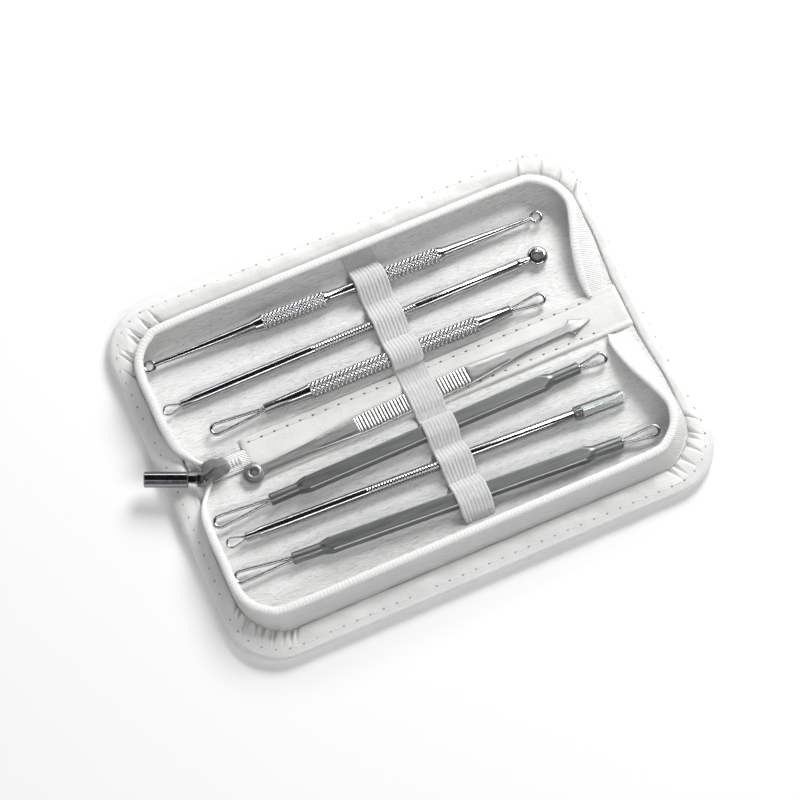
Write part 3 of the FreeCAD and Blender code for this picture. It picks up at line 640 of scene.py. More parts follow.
def outline_pairs(name):
    """Outer and seam points of one half, from the spine's left end round to its right end.

    Each pair has its place among the pleats, or None away from the corners.
    """
    pairs = outline_side(-1) + outline_corner(name, -1)
    outer_reach = HALF_LENGTH - CORNER
    seam_reach = SEAM_SIDE - SEAM_CORNER
    for n in range(1, FAR_STEPS):
        share = n / FAR_STEPS
        outer = (-outer_reach + 2 * outer_reach * share, OUTER_EDGE)
        pairs.append((outer, (-seam_reach + 2 * seam_reach * share, SEAM_FAR), None))
    pairs += outline_corner(name, 1)[::-1] + outline_side(1)[::-1]
    pairs.append(((HALF_LENGTH, 0.0), (seam_x(0.0, False), 0.0), None))
    return pairs


def border_height(share, x, y, place):
    """Height of the border between the seam at 0 and the rim's start at 1."""
    if share < SEAM_TUCK_SHARE:
        base = SEAM_TUCK + (BORDER_TOP - SEAM_TUCK) * smooth_step(share / SEAM_TUCK_SHARE)
    else:
        base = BORDER_TOP + (RIM_START_HEIGHT - BORDER_TOP) * share
    change = 1 + ripple(CROWN_CHANGE, x, y)
    puff = CROWN * math.sin(math.pi * share) * change
    return base + puff + ripple(DENT, x, y) - PLEAT_DEPTH * pleat(place, share)


def add_border(shape, name, side):
    rows = []
    for (ox, oy), (ix, iy), place in outline_pairs(name):
        outer = Vector((ox, oy))
        inner = Vector((ix, iy))
        way = (outer - inner).normalized()
        width = (outer - inner).length
        row = []
        for step in range(TOP_STEPS + 1):
            share = (step / TOP_STEPS) ** TOP_SPREAD_POWER
            flat = inner + way * share * (width - RIM_START_INSET)
            row.append(Vector((flat.x, side * flat.y, border_height(share, flat.x, side * flat.y, place))))
        for inset, height in RIM[1:]:
            flat = outer - way * inset
            wave = ripple(RIM_WAVE, ox, side * oy) * (height > RIM_WAVE_ABOVE)
            row.append(Vector((flat.x, side * flat.y, max(height + wave, RIM_LOWEST))))
        rows.append(row)
    shape.grid(rows)


def add_underside(shape, side):
    """Flat base sheet, which laps over the rim's lower edge."""
    radius = CORNER - UNDERSIDE_INSET
    rows = []
    for y in stations(UNDERSIDE_SPANS):
        over = max(y - STRAIGHT, 0.0)
        reach = HALF_LENGTH - CORNER + math.sqrt(max(radius ** 2 - over ** 2, 0.0))
        across = np.linspace(-reach, reach, UNDERSIDE_COLUMNS)
        rows.append([Vector((x, side * y, UNDERSIDE_LEVEL)) for x in across])
    shape.grid(rows)


def add_border_stitches(shape, name, side):
    line = []
    for (ox, oy), (ix, iy), _ in outline_pairs(name):
        outer = Vector((ox, oy))
        way = (outer - Vector((ix, iy))).normalized()
        flat = outer - way * BORDER_STITCH_INSET
        line.append((flat.x, side * flat.y))
    marks = resample(line, STITCH_PITCH)
    for here, there in zip(marks[:-1], marks[1:]):
        way = Vector((there[0] - here[0], there[1] - here[1], 0)).normalized()
        height = BORDER_STITCH_LEVEL + ripple(DENT, here[0], here[1])
        stitch(shape, Vector((here[0], here[1], height)), way)


def make_leather(name, side):
    shape = Shape()
    add_border(shape, name, side)
    add_underside(shape, side)
    add_border_stitches(shape, name, side)
    skin = shape.piece(f"{name}_leather", [LEATHER, PUNCH_SHADE, THREAD], SOFT_ANGLE)
    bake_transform(skin)
    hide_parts(f"{name}_cover", "spine_cover")


# Zip tape and its coil, through pairs of a seam point (x, y) and a lip point (x, y, z)

FAR_LEAD = (
    ((-64.8, 7.2), (-62.6, 3.9, 4.35)),
    ((-67.0, 9.5), (-65.6, 7.3, 5.4)),
    ((-68.6, 13.5), (-68.3, 11.6, 7.2)),
    ((-69.5, 20.0), (-69.2, 18.5, 9.2)),
)
NEAR_LEAD = (
    ((-66.0, 5.0), (-62.8, 0.6, 4.35)),
    ((-67.2, 8.5), (-66.0, 4.8, 5.4)),
    ((-68.6, 12.5), (-68.2, 9.2, 7.2)),
    ((-69.5, 19.5), (-69.2, 16.5, 9.2)),
)
LEFT_RISE = ((-SEAM_SIDE, 28.0), (-LIP_LEFT, 27.0, 10.0))
RIGHT_WAIST = (
    ((69.2, 28.2), (64.8, 27.5, 9.8)),
    ((68.8, 21.0), (62.3, 20.5, 8.8)),
    ((68.4, 14.0), (60.9, 14.0, 7.1)),
    ((68.1, 9.0), (60.5, 9.0, 5.4)),
    ((68.0, 7.0), (60.9, 6.6, 4.4)),
)
CORNER_DEGREES = (0, 30, 60, 90)
FAR_MARKS = (-28.0, 0.0, 28.0)
LIP_BOW = 0.2
ZIP_STEP = 0.7
TAPE_FOOT = 3.0
TAPE_UNDER_LIP = 0.3
TAPE_THICKNESS = 0.6
TAPE_ROWS = 7
TAPE_BULGE = 0.35
TAPE_WAVE = (0.25, 5.0, 0.0)
TAPE_WAVE_SPAN = 6.0
COIL_SLOT = 1
COIL_STEP = 0.22
COIL_SET_IN = 0.7
COIL_HALF_WIDTH = 1.3
COIL_HALF_HEIGHT = 0.8
COIL_SIDES = 16
COIL_SQUARE_POWER = 0.8
COIL_RIB_STEPS = 5
COIL_GROOVE_STEPS = 2
COIL_GROOVE_SHARE = 0.1
COIL_SLIM_SHARE = 0.5
COIL_SLIM_UNTIL = 5.0
COIL_SLIM_RUN = 8.0
COIL_LOW_SHARE = 0.4


def zip_corner(way, lip_side, degrees):
    turn = math.radians(degrees)
    base = corner_point(way, SEAM_SIDE, SEAM_FAR, SEAM_CORNER, turn)
    return base, (*corner_point(way, lip_side, LIP_FAR, LIP_CORNER, turn), LIP_TOP)


def zip_line(lead):
    """Seam and lip of one half's tape, from the slider round to the spine's right end."""
    points = [*lead, LEFT_RISE]
    points += [zip_corner(-1, LIP_LEFT, degrees) for degrees in CORNER_DEGREES]
    points += [((x, SEAM_FAR), (x, LIP_FAR + LIP_BOW, LIP_TOP)) for x in FAR_MARKS]
    points += [zip_corner(1, LIP_RIGHT, degrees) for degrees in reversed(CORNER_DEGREES)]
    points += RIGHT_WAIST
    return spline([(*base, *lip) for base, lip in points], ZIP_STEP)


def lip_frames(line, side):
    """Point and inward side of the lip at each step."""
    lips = [Vector((p[2], side * p[3], p[4])) for p in line]
    frames = []
    for n, point in enumerate(lips):
        way = (lips[min(n + 1, len(lips) - 1)] - lips[max(n - 1, 0)]).normalized()
        frames.append((point, Vector((way.y, -way.x, 0)).normalized() * side))
    return frames


def add_tape(shape, line, side):
    rows = []
    for p, (lip, inward) in zip(line, lip_frames(line, side)):
        foot = Vector((p[0], side * p[1], TAPE_FOOT))
        outer = []
        inner = []
        for step in range(TAPE_ROWS):
            share = step / (TAPE_ROWS - 1)
            point = foot.lerp(lip - UP * TAPE_UNDER_LIP, share)
            wave = ripple(TAPE_WAVE, p[0] + p[1], share * TAPE_WAVE_SPAN)
            bulge = TAPE_BULGE * math.sin(math.pi * share) + wave
            outer.append(point - inward * bulge)
            inner.append(point - inward * (bulge - TAPE_THICKNESS))
        rows.append(outer + inner[::-1])
    shape.rings(rows)


def add_coil(shape, line, side):
    """Ribbed band of the coil along the lip, slimmer beside the spine."""
    path = [[*(lip + inward * COIL_SET_IN), *inward] for lip, inward in lip_frames(line, side)]
    rows = []
    for n, values in enumerate(resample(path, COIL_STEP)):
        centre = Vector(values[:3])
        across = Vector(values[3:]).normalized()
        rib = 1 - COIL_GROOVE_SHARE * (n % COIL_RIB_STEPS < COIL_GROOVE_STEPS)
        ease = smooth_step((abs(centre.y) - COIL_SLIM_UNTIL) / COIL_SLIM_RUN)
        slim = COIL_SLIM_SHARE + (1 - COIL_SLIM_SHARE) * ease
        low = COIL_LOW_SHARE + (1 - COIL_LOW_SHARE) * slim
        ring = []
        for angle in turns(COIL_SIDES):
            flat = signed_power(math.cos(angle), COIL_SQUARE_POWER) * COIL_HALF_WIDTH * slim
            rise = math.sin(angle) * COIL_HALF_HEIGHT * rib * low
            ring.append(centre + across * flat + UP * rise)
        rows.append(ring)
    shape.rings(rows, COIL_SLOT)


def make_zip(name, side, lead):
    line = zip_line(lead)
    shape = Shape()
    add_tape(shape, line, side)
    add_coil(shape, line, side)
    wall = shape.piece(f"{name}_zip", [TAPE, COIL], SOFT_ANGLE)
    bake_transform(wall)
    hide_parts(f"{name}_zip_tape", f"{name}_zip_chain")


# Lining

LINING_EDGE_GAP = 0.4
LINING_START = 4.6
LINING_SPANS = ((LINING_START, 12.0, 18), (13.0, 49.6, 46))
LINING_COLUMNS = 160
LINING_SINK = 0.05
LINING_EDGE_RISE = 0.5
LINING_EDGE_RUN = 2.0
LINING_DIP = 0.5
LINING_DIP_END = 9.0
LINING_WAVE = (0.1, 7.0, 5.0)
LINING_NAP = (0.05, 1.2, 9.0)
LINING_NAP_STRETCH = 2.5


def lining_reach(y):
    """Left and right ends of the lining at a distance y from the spine's middle."""
    over = max(y - SEAM_STRAIGHT, 0.0)
    inset = SEAM_CORNER - math.sqrt(max(SEAM_CORNER ** 2 - over ** 2, 0.0))
    return -(seam_x(y, True) - LINING_EDGE_GAP - inset), seam_x(y, False) - LINING_EDGE_GAP - inset


def make_lining(name, side):
    shape = Shape()
    rows = []
    for y in stations(LINING_SPANS):
        left, right = lining_reach(y)
        dip = LINING_DIP * (1 - smooth_step((y - LINING_START) / (LINING_DIP_END - LINING_START)))
        row = []
        for share in np.linspace(0.0, 1.0, LINING_COLUMNS):
            x = left + (right - left) * share
            wall_gap = min(x - left, right - x, SEAM_FAR - y)
            rise = LINING_EDGE_RISE * (1 - smooth_step(wall_gap / LINING_EDGE_RUN))
            wave = ripple(LINING_WAVE, x, side * y)
            nap = ripple(LINING_NAP, x / LINING_NAP_STRETCH, side * y)
            row.append(Vector((x, side * y, LINING_TOP - LINING_SINK + rise - dip + (wave + nap))))
        rows.append(row)
    shape.grid(rows)
    cloth = shape.piece(f"{name}_lining_cloth", [LINING], CLOTH_ANGLE)
    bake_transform(cloth)
    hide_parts(f"{name}_lining")


# Spine: sewn strip, the lining at its left end and the closed start of the zip

# Inset from the strip's side and height against its top
STRIP_EDGE = ((0.0, -1.1), (0.0, -0.5), (0.12, -0.18), (0.35, -0.03), (0.8, 0.0))
STRIP_COLUMNS = 170
STRIP_FLAT_INSET = 1.2
STRIP_FLAT_ROWS = 16
STRIP_END_DROP = 0.5
STRIP_END_RUN = 0.9
STRIP_WAVE = (0.25, 14.0, 2.0)
STRIP_SWELL = (0.05, 6.0, 4.0)
STRIP_SEAMS = (-4.2, 5.8)
STRIP_GROOVE = 0.14
STRIP_GROOVE_WIDTH = 0.5
STRIP_STITCH_START = 2.5
STRIP_STITCH_END_GAPS = 8.0
STRIP_STITCH_MIDDLE = 1.0
STRIP_STITCH_SINK = 0.08

BED_X_SPAN = (-67.0, -48.0, 50)
BED_Y_SPAN = (-7.4, 7.6, 40)
BED_LEVEL = 2.86
BED_WAVE = (0.04, 3.0, 0.0)

ZIP_START_Y = 1.6
TAIL_X_SPAN = (-61.4, -49.6, 30)
TAIL_HALF_WIDTH = 2.9
TAIL_ROWS = 15
TAIL_TOP = 4.1
TAIL_EDGE_DROP = 0.5
TEETH = 9
TOOTH_PITCH = 1.1
TOOTH_START = -60.8
TOOTH_LEVEL = 4.4
TOOTH_HALF_WIDTH = 1.1
TOOTH_HALF_LENGTH = 0.46
TOOTH_HALF_HEIGHT = 0.5


def strip_section(wave):
    """Points (y, height) across the strip, from its near side to its far side."""
    near = [(STRIP_NEAR + inset + wave * HALF_SHARE, height) for inset, height in STRIP_EDGE]
    flat = np.linspace(STRIP_NEAR + STRIP_FLAT_INSET, STRIP_FAR - STRIP_FLAT_INSET, STRIP_FLAT_ROWS)
    far = [(STRIP_FAR - inset + wave * HALF_SHARE, height) for inset, height in reversed(STRIP_EDGE)]
    return near + [(y, 0.0) for y in flat] + far


def make_strip():
    """Sewn strip along the spine, with its two rows of stitches."""
    shape = Shape()
    rows = []
    for x in np.linspace(STRIP_LEFT, STRIP_RIGHT, STRIP_COLUMNS):
        end_gap = min(x - STRIP_LEFT, STRIP_RIGHT - x)
        drop = STRIP_END_DROP * (1 - smooth_step(end_gap / STRIP_END_RUN))
        row = []
        for y, height in strip_section(ripple(STRIP_WAVE, x, 0.0)):
            swell = ripple(STRIP_SWELL, x, y)
            nearness = sum(math.exp(-((y - seam) / STRIP_GROOVE_WIDTH) ** 2) for seam in STRIP_SEAMS)
            row.append(Vector((x, y, STRIP_TOP + height - drop + swell - STRIP_GROOVE * nearness)))
        rows.append(row)
    shape.grid(rows)
    for y in STRIP_SEAMS:
        for n in range(int((STRIP_RIGHT - STRIP_LEFT - STRIP_STITCH_END_GAPS) / STITCH_PITCH)):
            x = STRIP_LEFT + STRIP_STITCH_START + n * STITCH_PITCH
            if abs(x + STRIP_STITCH_MIDDLE - STRAP_X) > STRAP_WIDTH * HALF_SHARE:
                stitch(shape, Vector((x, y, STRIP_TOP - STRIP_STITCH_SINK)), Vector((1, 0, 0)))
    strip = shape.piece("spine_strip_leather", [STRIP, HOLE_SHADE, THREAD], SOFT_ANGLE)
    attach(strip, "spine")
    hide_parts("spine_strip")


def make_spine_bed():
    """Lining under the slider, at the spine's left end."""
    shape = Shape()
    rows = []
    for x in np.linspace(*BED_X_SPAN):
        row = []
        for y in np.linspace(*BED_Y_SPAN):
            row.append(Vector((x, y, BED_LEVEL + ripple(BED_WAVE, x, y))))
        rows.append(row)
    shape.grid(rows)
    bed = shape.piece("spine_bed", [LINING])
    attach(bed, "spine")


def make_zip_tail():
    """Closed start of the zip between the slider and the strip."""
    shape = Shape()
    rows = []
    for x in np.linspace(*TAIL_X_SPAN):
        row = []
        for y in np.linspace(-TAIL_HALF_WIDTH, TAIL_HALF_WIDTH, TAIL_ROWS):
            height = TAIL_TOP - TAIL_EDGE_DROP * (abs(y) / TAIL_HALF_WIDTH) ** 3
            row.append(Vector((x, ZIP_START_Y + y, height)))
        rows.append(row)
    shape.grid(rows)
    for n in range(TEETH):
        centre = Vector((TOOTH_START + n * TOOTH_PITCH, ZIP_START_Y, TOOTH_LEVEL))
        along = Vector((0, TOOTH_HALF_WIDTH, 0))
        across = Vector((TOOTH_HALF_LENGTH, 0, 0))
        bead(shape, centre, along, across, UP * TOOTH_HALF_HEIGHT, COIL_SLOT)
    tail = shape.piece("zip_tail_tape", [TAPE, COIL])
    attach(tail, "spine")
    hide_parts("zip_tail")


# Zip slider: two lobed plates on a neck

# One side of the plate's outline, as shares of its length and width
SHIELD = ((-0.5, 0.14), (-0.46, 0.28), (-0.38, 0.41), (-0.28, 0.49), (-0.1, 0.5), (0.08, 0.47), (0.2, 0.4),
          (0.3, 0.41), (0.4, 0.37), (0.46, 0.28), (0.5, 0.14))
SLIDER_LENGTH = 8.0
SLIDER_WIDTH = 6.4
SLIDER_X = -59.6
PLATE_LEVELS = ((2.97, 3.5), (5.2, 6.1))
# Share of the plate's full size, and distance from its underside or its top
PLATE_FOOT = ((0.94, 0.0), (0.99, 0.12), (1.0, 0.25))
PLATE_CROWN = ((1.0, 0.25), (0.97, 0.06), (0.92, 0.0))
RIDGE_LEVEL = 6.05
RIDGE_PROFILE = ((-3.4, 0.02), (-3.1, 0.22), (3.0, 0.22), (3.4, 0.02))
RIDGE_SIDES = 12
NECK_X = -62.3
NECK_LEVEL = 4.3
NECK_PROFILE = ((-1.1, 0.75), (1.1, 0.75))
NECK_SIDES = 16


def shield_ring(scale, height):
    both = [*SHIELD, *((x, -y) for x, y in reversed(SHIELD))]
    return [Vector((SLIDER_X + x * SLIDER_LENGTH * scale, ZIP_START_Y + y * SLIDER_WIDTH * scale, height))
            for x, y in both]


def make_slider():
    shape = Shape()
    for low, high in PLATE_LEVELS:
        foot = [shield_ring(scale, low + gap) for scale, gap in PLATE_FOOT]
        crown = [shield_ring(scale, high - gap) for scale, gap in PLATE_CROWN]
        shape.rings(foot + crown)
    lathe(shape, RIDGE_PROFILE, RIDGE_SIDES, Matrix.Translation((SLIDER_X, ZIP_START_Y, RIDGE_LEVEL)))
    neck = Matrix.Translation((NECK_X, ZIP_START_Y, NECK_LEVEL)) @ ON_END
    lathe(shape, NECK_PROFILE, NECK_SIDES, neck)
    body = shape.piece("zip_slider_body", [SLIDER], PLATE_ANGLE)
    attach(body, "slider")
    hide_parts("zip_slider")


# Elastic strap, drawn taut over each tool between the places where it is sewn down

# (y, z) of the sewn places
FAR_PINCHES = ((6.0, 4.25), (8.8, 3.8), (17.6, 3.75), (30.1, 3.75), (41.8, 3.75), (48.2, 3.7))
NEAR_PINCHES = ((-41.3, 3.7), (-29.3, 3.75), (-18.2, 3.75), (-9.2, 3.75), (-5.9, 4.25), (3.0, 4.25),
                (6.0, 4.25))
CURETTE_HUMP = 2.7
KNURLED_HUMP = 2.6
ROD_HUMP = 1.85
# Half width and top
BAR_HUMP = (2.3, 8.05)
LANCET_HUMP = (3.1, 5.72)
HUMP_ROUNDING = 0.5
HUMP_SQUARE_POWER = 0.5
ROUND_HUMP_STEPS = 30
FLAT_HUMP_STEPS = 16
STRAP_STEP = 0.3
STRAP_SMOOTHING = 4
RIBS = 9
RIB_STEPS = 8
RIB_HEIGHT = 0.16
RIB_ROUND_POWER = 0.7
STRAP_EDGE_DROP = 0.25
STRAP_EDGE_START_SHARE = 0.46
STRAP_EDGE_RUN_SHARE = 0.04
STRAP_NARROW_SHARE = 0.97
STRAP_SPREAD_SHARE = 0.05
STRAP_SPREAD_RISE = 3.0
STRAP_WAVER_SHARE = (0.02, 3.0, 6.0)
STRAP_WEAVE = (0.05, 1.5, 8.0)
STRETCHED_BELOW = STRIP_TOP + 0.2
STRETCHED_REACH = 9.2


def hull_over(start, end, solid):
    """Taut line from start to end over a solid's points, all as (y, z)."""
    points = sorted([start, *solid, end])
    line = []
    for point in points:
        while len(line) > 1:
            (ay, az), (by, bz) = line[-2:]
            if (by - ay) * (point[1] - az) - (bz - az) * (point[0] - ay) < 0:
                break
            line.pop()
        line.append(point)
    return line


def half_turn(steps):
    return [math.pi * n / steps for n in range(steps + 1)]


def round_solid(tool, radius):
    y, height, _ = tool
    return [(y + radius * math.cos(a), height + radius * math.sin(a)) for a in half_turn(ROUND_HUMP_STEPS)]


def flat_solid(tool, half_width, top):
    y, _, _ = tool
    points = []
    for angle in half_turn(FLAT_HUMP_STEPS):
        across = half_width * signed_power(math.cos(angle), HUMP_SQUARE_POWER)
        points.append((y + across, top - HUMP_ROUNDING + HUMP_ROUNDING * math.sin(angle)))
    return points


def strap_line(pinches, solids):
    line = []
    for start, end, solid in zip(pinches[:-1], pinches[1:], solids):
        part = hull_over(start, end, solid)
        line += part if not line else part[1:]
    fine = resample(line, STRAP_STEP)
    for _ in range(STRAP_SMOOTHING):
        fine[1:-1] = (fine[:-2] + 2 * fine[1:-1] + fine[2:]) / 4
    return fine


def strap_lift(share, x, y):
    """Thickness of the ribbed webbing at a share of its width."""
    rib = RIB_HEIGHT * abs(math.sin(math.pi * RIBS * (share + HALF_SHARE))) ** RIB_ROUND_POWER
    edge = STRAP_EDGE_DROP * smooth_step((abs(share) - STRAP_EDGE_START_SHARE) / STRAP_EDGE_RUN_SHARE)
    weave = ripple(STRAP_WEAVE, x, y)
    return STRAP_THICKNESS - RIB_HEIGHT + rib - edge + weave


def make_strap(name, line, nodes):
    shape = Shape()
    rows = []
    for n, (y, z) in enumerate(line):
        dy, dz = line[min(n + 1, len(line) - 1)] - line[max(n - 1, 0)]
        reach = math.hypot(dy, dz)
        up = (-dz / reach, dy / reach) if dy > 0 else (dz / reach, -dy / reach)
        thin = STRETCHED_SHARE if z < STRETCHED_BELOW and abs(y) < STRETCHED_REACH else 1.0
        spread = STRAP_SPREAD_SHARE * smooth_step((z - LINING_TOP) / STRAP_SPREAD_RISE)
        waver = ripple(STRAP_WAVER_SHARE, y, 0.0)
        width = STRAP_WIDTH * (STRAP_NARROW_SHARE + spread + waver)
        row = []
        for share in np.linspace(-HALF_SHARE, HALF_SHARE, RIBS * RIB_STEPS + 1):
            x = STRAP_X + share * width
            lift = strap_lift(share, x, y) * thin
            row.append(Vector((x, y + up[0] * lift, z + up[1] * lift)))
        for share in (HALF_SHARE, 0.0, -HALF_SHARE):
            row.append(Vector((STRAP_X + share * width, y, z)))
        rows.append(row)
    shape.rings(rows)
    strap = shape.piece(f"{name}_elastic", [ELASTIC], SOFT_ANGLE)
    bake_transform(strap)
    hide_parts(*nodes)


def make_straps():
    far_solids = [[], round_solid(KNURLED, KNURLED_HUMP), round_solid(SPOON, ROD_HUMP),
                  round_solid(CURETTE, CURETTE_HUMP), []]
    make_strap("far", strap_line(FAR_PINCHES, far_solids), ["far_strap"])
    near_solids = [flat_solid(LOWER, *BAR_HUMP), round_solid(NEEDLE, ROD_HUMP), flat_solid(UPPER, *BAR_HUMP),
                   [], flat_solid(LANCET, *LANCET_HUMP), []]
    make_strap("near", strap_line(NEAR_PINCHES, near_solids), ["near_strap", "spine_strap"])


# Knurling, ribs and wire loops; a tool's own X is 0 at the strap

KNURL_SIDES = 112
KNURL_ROUNDS = 14
KNURL_PITCH = 1.3
KNURL_HEIGHT = 0.17
KNURL_STEP = 0.13
KNURL_FADE = 0.6
KNURL_BASE_SHARE = 0.6
ROD_SIDES = 48
ROD_RIB_PITCH = 0.9
ROD_RIB_HEIGHT = 0.2
ROD_RIB_STEP = 0.1
ROD_RIB_FADE = 1.0
ROD_RIB_BASE_SHARE = 0.7

LOOP_WIRE = 0.52
RING_WIRE = 0.3
WIRE_SIDES = 12
LOOP_STEPS = 24
LOOP_WAIST = 0.45
LOOP_EVEN_SHARE = 0.45
LOOP_TUCK = 0.5
# Reach and half width
LOOP_SIZES = {
    "spoon_ring": (5.6, 1.75),
    "knurled_left_loop": (16.8, 2.1),
    "knurled_right_loop": (11.0, 2.1),
    "upper_left_loop": (17.6, 2.2),
    "upper_right_loop": (9.0, 2.1),
    "needle_ring": (5.8, 1.75),
    "lower_left_loop": (17.6, 2.2),
    "lower_right_loop": (11.8, 2.0),
}
# Distance out of the handle and radius
SHANK = ((-3.9, 0.93), (0.1, 0.93), (0.6, 0.7))
SHANK_SIDES = 20


def triangle(value):
    """Triangle wave from 0 to 1 and back over each unit."""
    return 1 - abs(2 * (value - math.floor(value)) - 1)


def knurl(ranges):
    """Diamond knurling between the given x ranges."""
    def relief(x, angle):
        for low, high in ranges:
            if low < x < high:
                fade = smooth_step(min(x - low, high - x) / KNURL_FADE)
                turn = angle / FULL_TURN * KNURL_ROUNDS
                rise = min(triangle(turn + x / KNURL_PITCH), triangle(turn - x / KNURL_PITCH))
                return fade * KNURL_HEIGHT * (2 * rise - KNURL_BASE_SHARE)
        return 0.0
    return relief


def ring_ribs(low, high):
    """Fine ribs round a rod, running as a thread."""
    def relief(x, angle):
        if not low < x < high:
            return 0.0
        fade = smooth_step(min(x - low, high - x) / ROD_RIB_FADE)
        return fade * ROD_RIB_HEIGHT * (triangle(x / ROD_RIB_PITCH + angle / FULL_TURN) - ROD_RIB_BASE_SHARE)
    return relief


def fill_profile(points, ranges, step):
    """The profile with added stations every step inside the ranges."""
    marks = {x for x, _ in points}
    for low, high in ranges:
        marks.update(np.arange(low, high, step))
    xs = [x for x, _ in points]
    radii = [radius for _, radius in points]
    return [(x, float(np.interp(x, xs, radii))) for x in sorted(marks)]


def loop_path(root, reach, half_width, way, wire):
    """Teardrop loop of wire from the handle's end and back to it."""
    path = []
    straight = reach - half_width
    bend = half_width - wire
    for n in range(LOOP_STEPS + 1):
        share = n / LOOP_STEPS
        spread = LOOP_EVEN_SHARE * share + (1 - LOOP_EVEN_SHARE) * smooth_step(share)
        run = share * straight - LOOP_TUCK * (n == 0)
        path.append((root + way * run, LOOP_WAIST + (bend - LOOP_WAIST) * spread, 0))
    back = [(x, -y, z) for x, y, z in reversed(path)]
    for n in range(1, LOOP_STEPS):
        angle = math.pi * n / LOOP_STEPS
        path.append((root + way * (straight + bend * math.sin(angle)), bend * math.cos(angle), 0))
    return path + back


def make_loop(name, tool, body, root, way, wire=LOOP_WIRE):
    shape = Shape()
    place = tool_place(tool)
    tube(shape, loop_path(root, *LOOP_SIZES[name], way, wire), wire, WIRE_SIDES, place)
    lathe(shape, [(root + way * run, radius) for run, radius in SHANK], SHANK_SIDES, place)
    loop = shape.piece(f"{name}_wire", [STEEL])
    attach(loop, body)
    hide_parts(name)


# Tools

CURETTE_PROFILE = ((-66.95, 0.62), (-64.0, 0.72), (-58.0, 0.95), (-36.6, 1.72), (-36.2, 1.95), (-35.6, 2.0),
                   (-33.9, 2.25), (-14.2, 2.25), (-13.2, 1.95), (-12.6, 1.72), (3.4, 1.72), (4.0, 1.95),
                   (5.1, 2.25), (21.5, 2.25), (22.6, 1.95), (23.2, 1.72), (44.0, 0.95), (49.0, 0.72),
                   (50.9, 0.62))
CURETTE_GRIPS = ((-33.9, -14.2), (5.1, 21.5))
CURETTE_RINGS = (-68.5, 52.4)
CURETTE_RING_RADIUS = 1.55
CURETTE_RING_WIRE = 0.5
CURETTE_RING_STEPS = 40

# Distance from the rod's left end and radius
ROD_LEFT_END = ((0.0, 1.15), (0.25, 1.3), (3.6, 1.35), (4.2, 1.6))
ROD_RADIUS = 1.6
ROD_BEVEL = 0.3
ROD_RIGHT_RADIUS = 1.4
SPOON_ENDS = (-64.6, 41.5)
SPOON_RIBS = (-24.0, 9.5)
NEEDLE_ENDS = (-63.4, 39.5)
NEEDLE_RIBS = (-27.0, 3.0)

SPOON_NECK = ((37.6, 0.93), (41.3, 0.95), (41.6, 1.55), (42.2, 1.62), (42.9, 1.35), (43.4, 1.3), (44.6, 1.2),
              (45.2, 1.05))
SPOON_NECK_SIDES = 28
SPOON_HEAD_X = 47.7
SPOON_SECTION = ((1.15, -0.9), (1.3, -1.05), (2.4, -1.08), (2.9, -0.8), (3.08, -0.2), (3.05, 0.3),
                 (2.75, 0.8), (2.3, 1.05), (1.9, 1.08), (1.75, 0.85), (1.3, 0.7), (1.15, 0.5))
SPOON_SIDES = 40

KNURLED_PROFILE = ((-43.5, 1.4), (-43.3, 1.6), (-31.0, 2.0), (-29.5, 2.25), (23.1, 2.25), (24.4, 2.0),
                   (33.4, 1.6), (33.6, 1.4))
KNURLED_GRIP = (-29.5, 23.1)
KNURLED_ENDS = (-43.5, 33.6)

# x and half width
LANCET_OUTLINE = ((-51.0, 1.5), (-48.0, 1.25), (-36.0, 1.6), (-22.0, 2.7), (-18.0, 2.9), (14.0, 2.9),
                  (18.0, 2.6), (32.0, 1.4), (40.0, 1.15), (46.1, 1.15), (47.5, 2.45), (53.5, 0.05))
LANCET_SPAN = (-51.0, 53.4)
LANCET_STEP = 0.9
LANCET_ACROSS = (-1.0, -0.94, -0.8, -0.4, 0.0, 0.4, 0.8, 0.94, 1.0)
LANCET_THICKNESS = 1.3
LANCET_UNDERSIDE = 0.02
LANCET_UNDERSIDE_SHARE = 0.97
LANCET_EDGE_DROP = 0.3
LANCET_EDGE_START_SHARE = 0.86
LANCET_EDGE_RUN_SHARE = 0.14
LANCET_RIBS = (-21.0, 14.5)
LANCET_RIB_STEP = 0.16
LANCET_RIB_HEIGHT = 0.16
LANCET_RIB_PITCH = 1.0
LANCET_RIB_BASE_SHARE = 0.9
LANCET_RIB_WIDTH_SHARE = 0.9
BLADE_START = 46.5
BLADE_RUN = 7.0
BLADE_THIN_SHARE = 0.2
EYE_X = -53.7
EYE_SECTION = ((1.1, 0.05), (3.05, 0.05), (3.2, 0.3), (3.2, 1.0), (3.0, 1.25), (2.45, 1.3), (2.2, 1.75),
               (1.7, 1.85), (1.25, 1.75), (1.1, 1.5))
EYE_SIDES = 44

UPPER_ENDS = (-52.6, 44.0)
LOWER_ENDS = (-53.8, 45.8)
BAR_HALF = 2.1
BAR_BEVEL = 0.38
BAR_SIDES = 72
BAR_CORNERS = [math.radians(45 + 90 * n) for n in range(4)]
BAR_EDGE_TURN = 0.075
# Bevel faces on the square part of a bar that get the brighter steel, a painted highlight
BAR_HIGHLIGHT_SPAN = 0.08
BAR_HIGHLIGHT_SLOT = 1
BAR_HIGHLIGHT_START = 11.6
BAR_EVEN_START = 14.0
BAR_EVEN_STEPS = 30
FERRULE_RADIUS = 1.75
FERRULE_LENGTH = 8.5
FERRULE_BEVEL = 0.2
CONE_END = 13.5
CONE_STEP = 0.2
CONE_SLOPE_SHARE = 0.305

CAP_MOUTH = 36.9
CAP_END = 52.7
CAP_BORE = 1.66
CAP_SIDES = 40
# Distance in from the mouth or the end, and radius
CAP_LIP = ((0.0, 2.05), (0.15, 2.14))
CAP_NOSE = ((1.2, 2.1), (0.5, 1.9), (0.15, 1.4), (0.0, 0.05), (1.0, 0.05), (1.2, 1.2), (1.6, CAP_BORE))


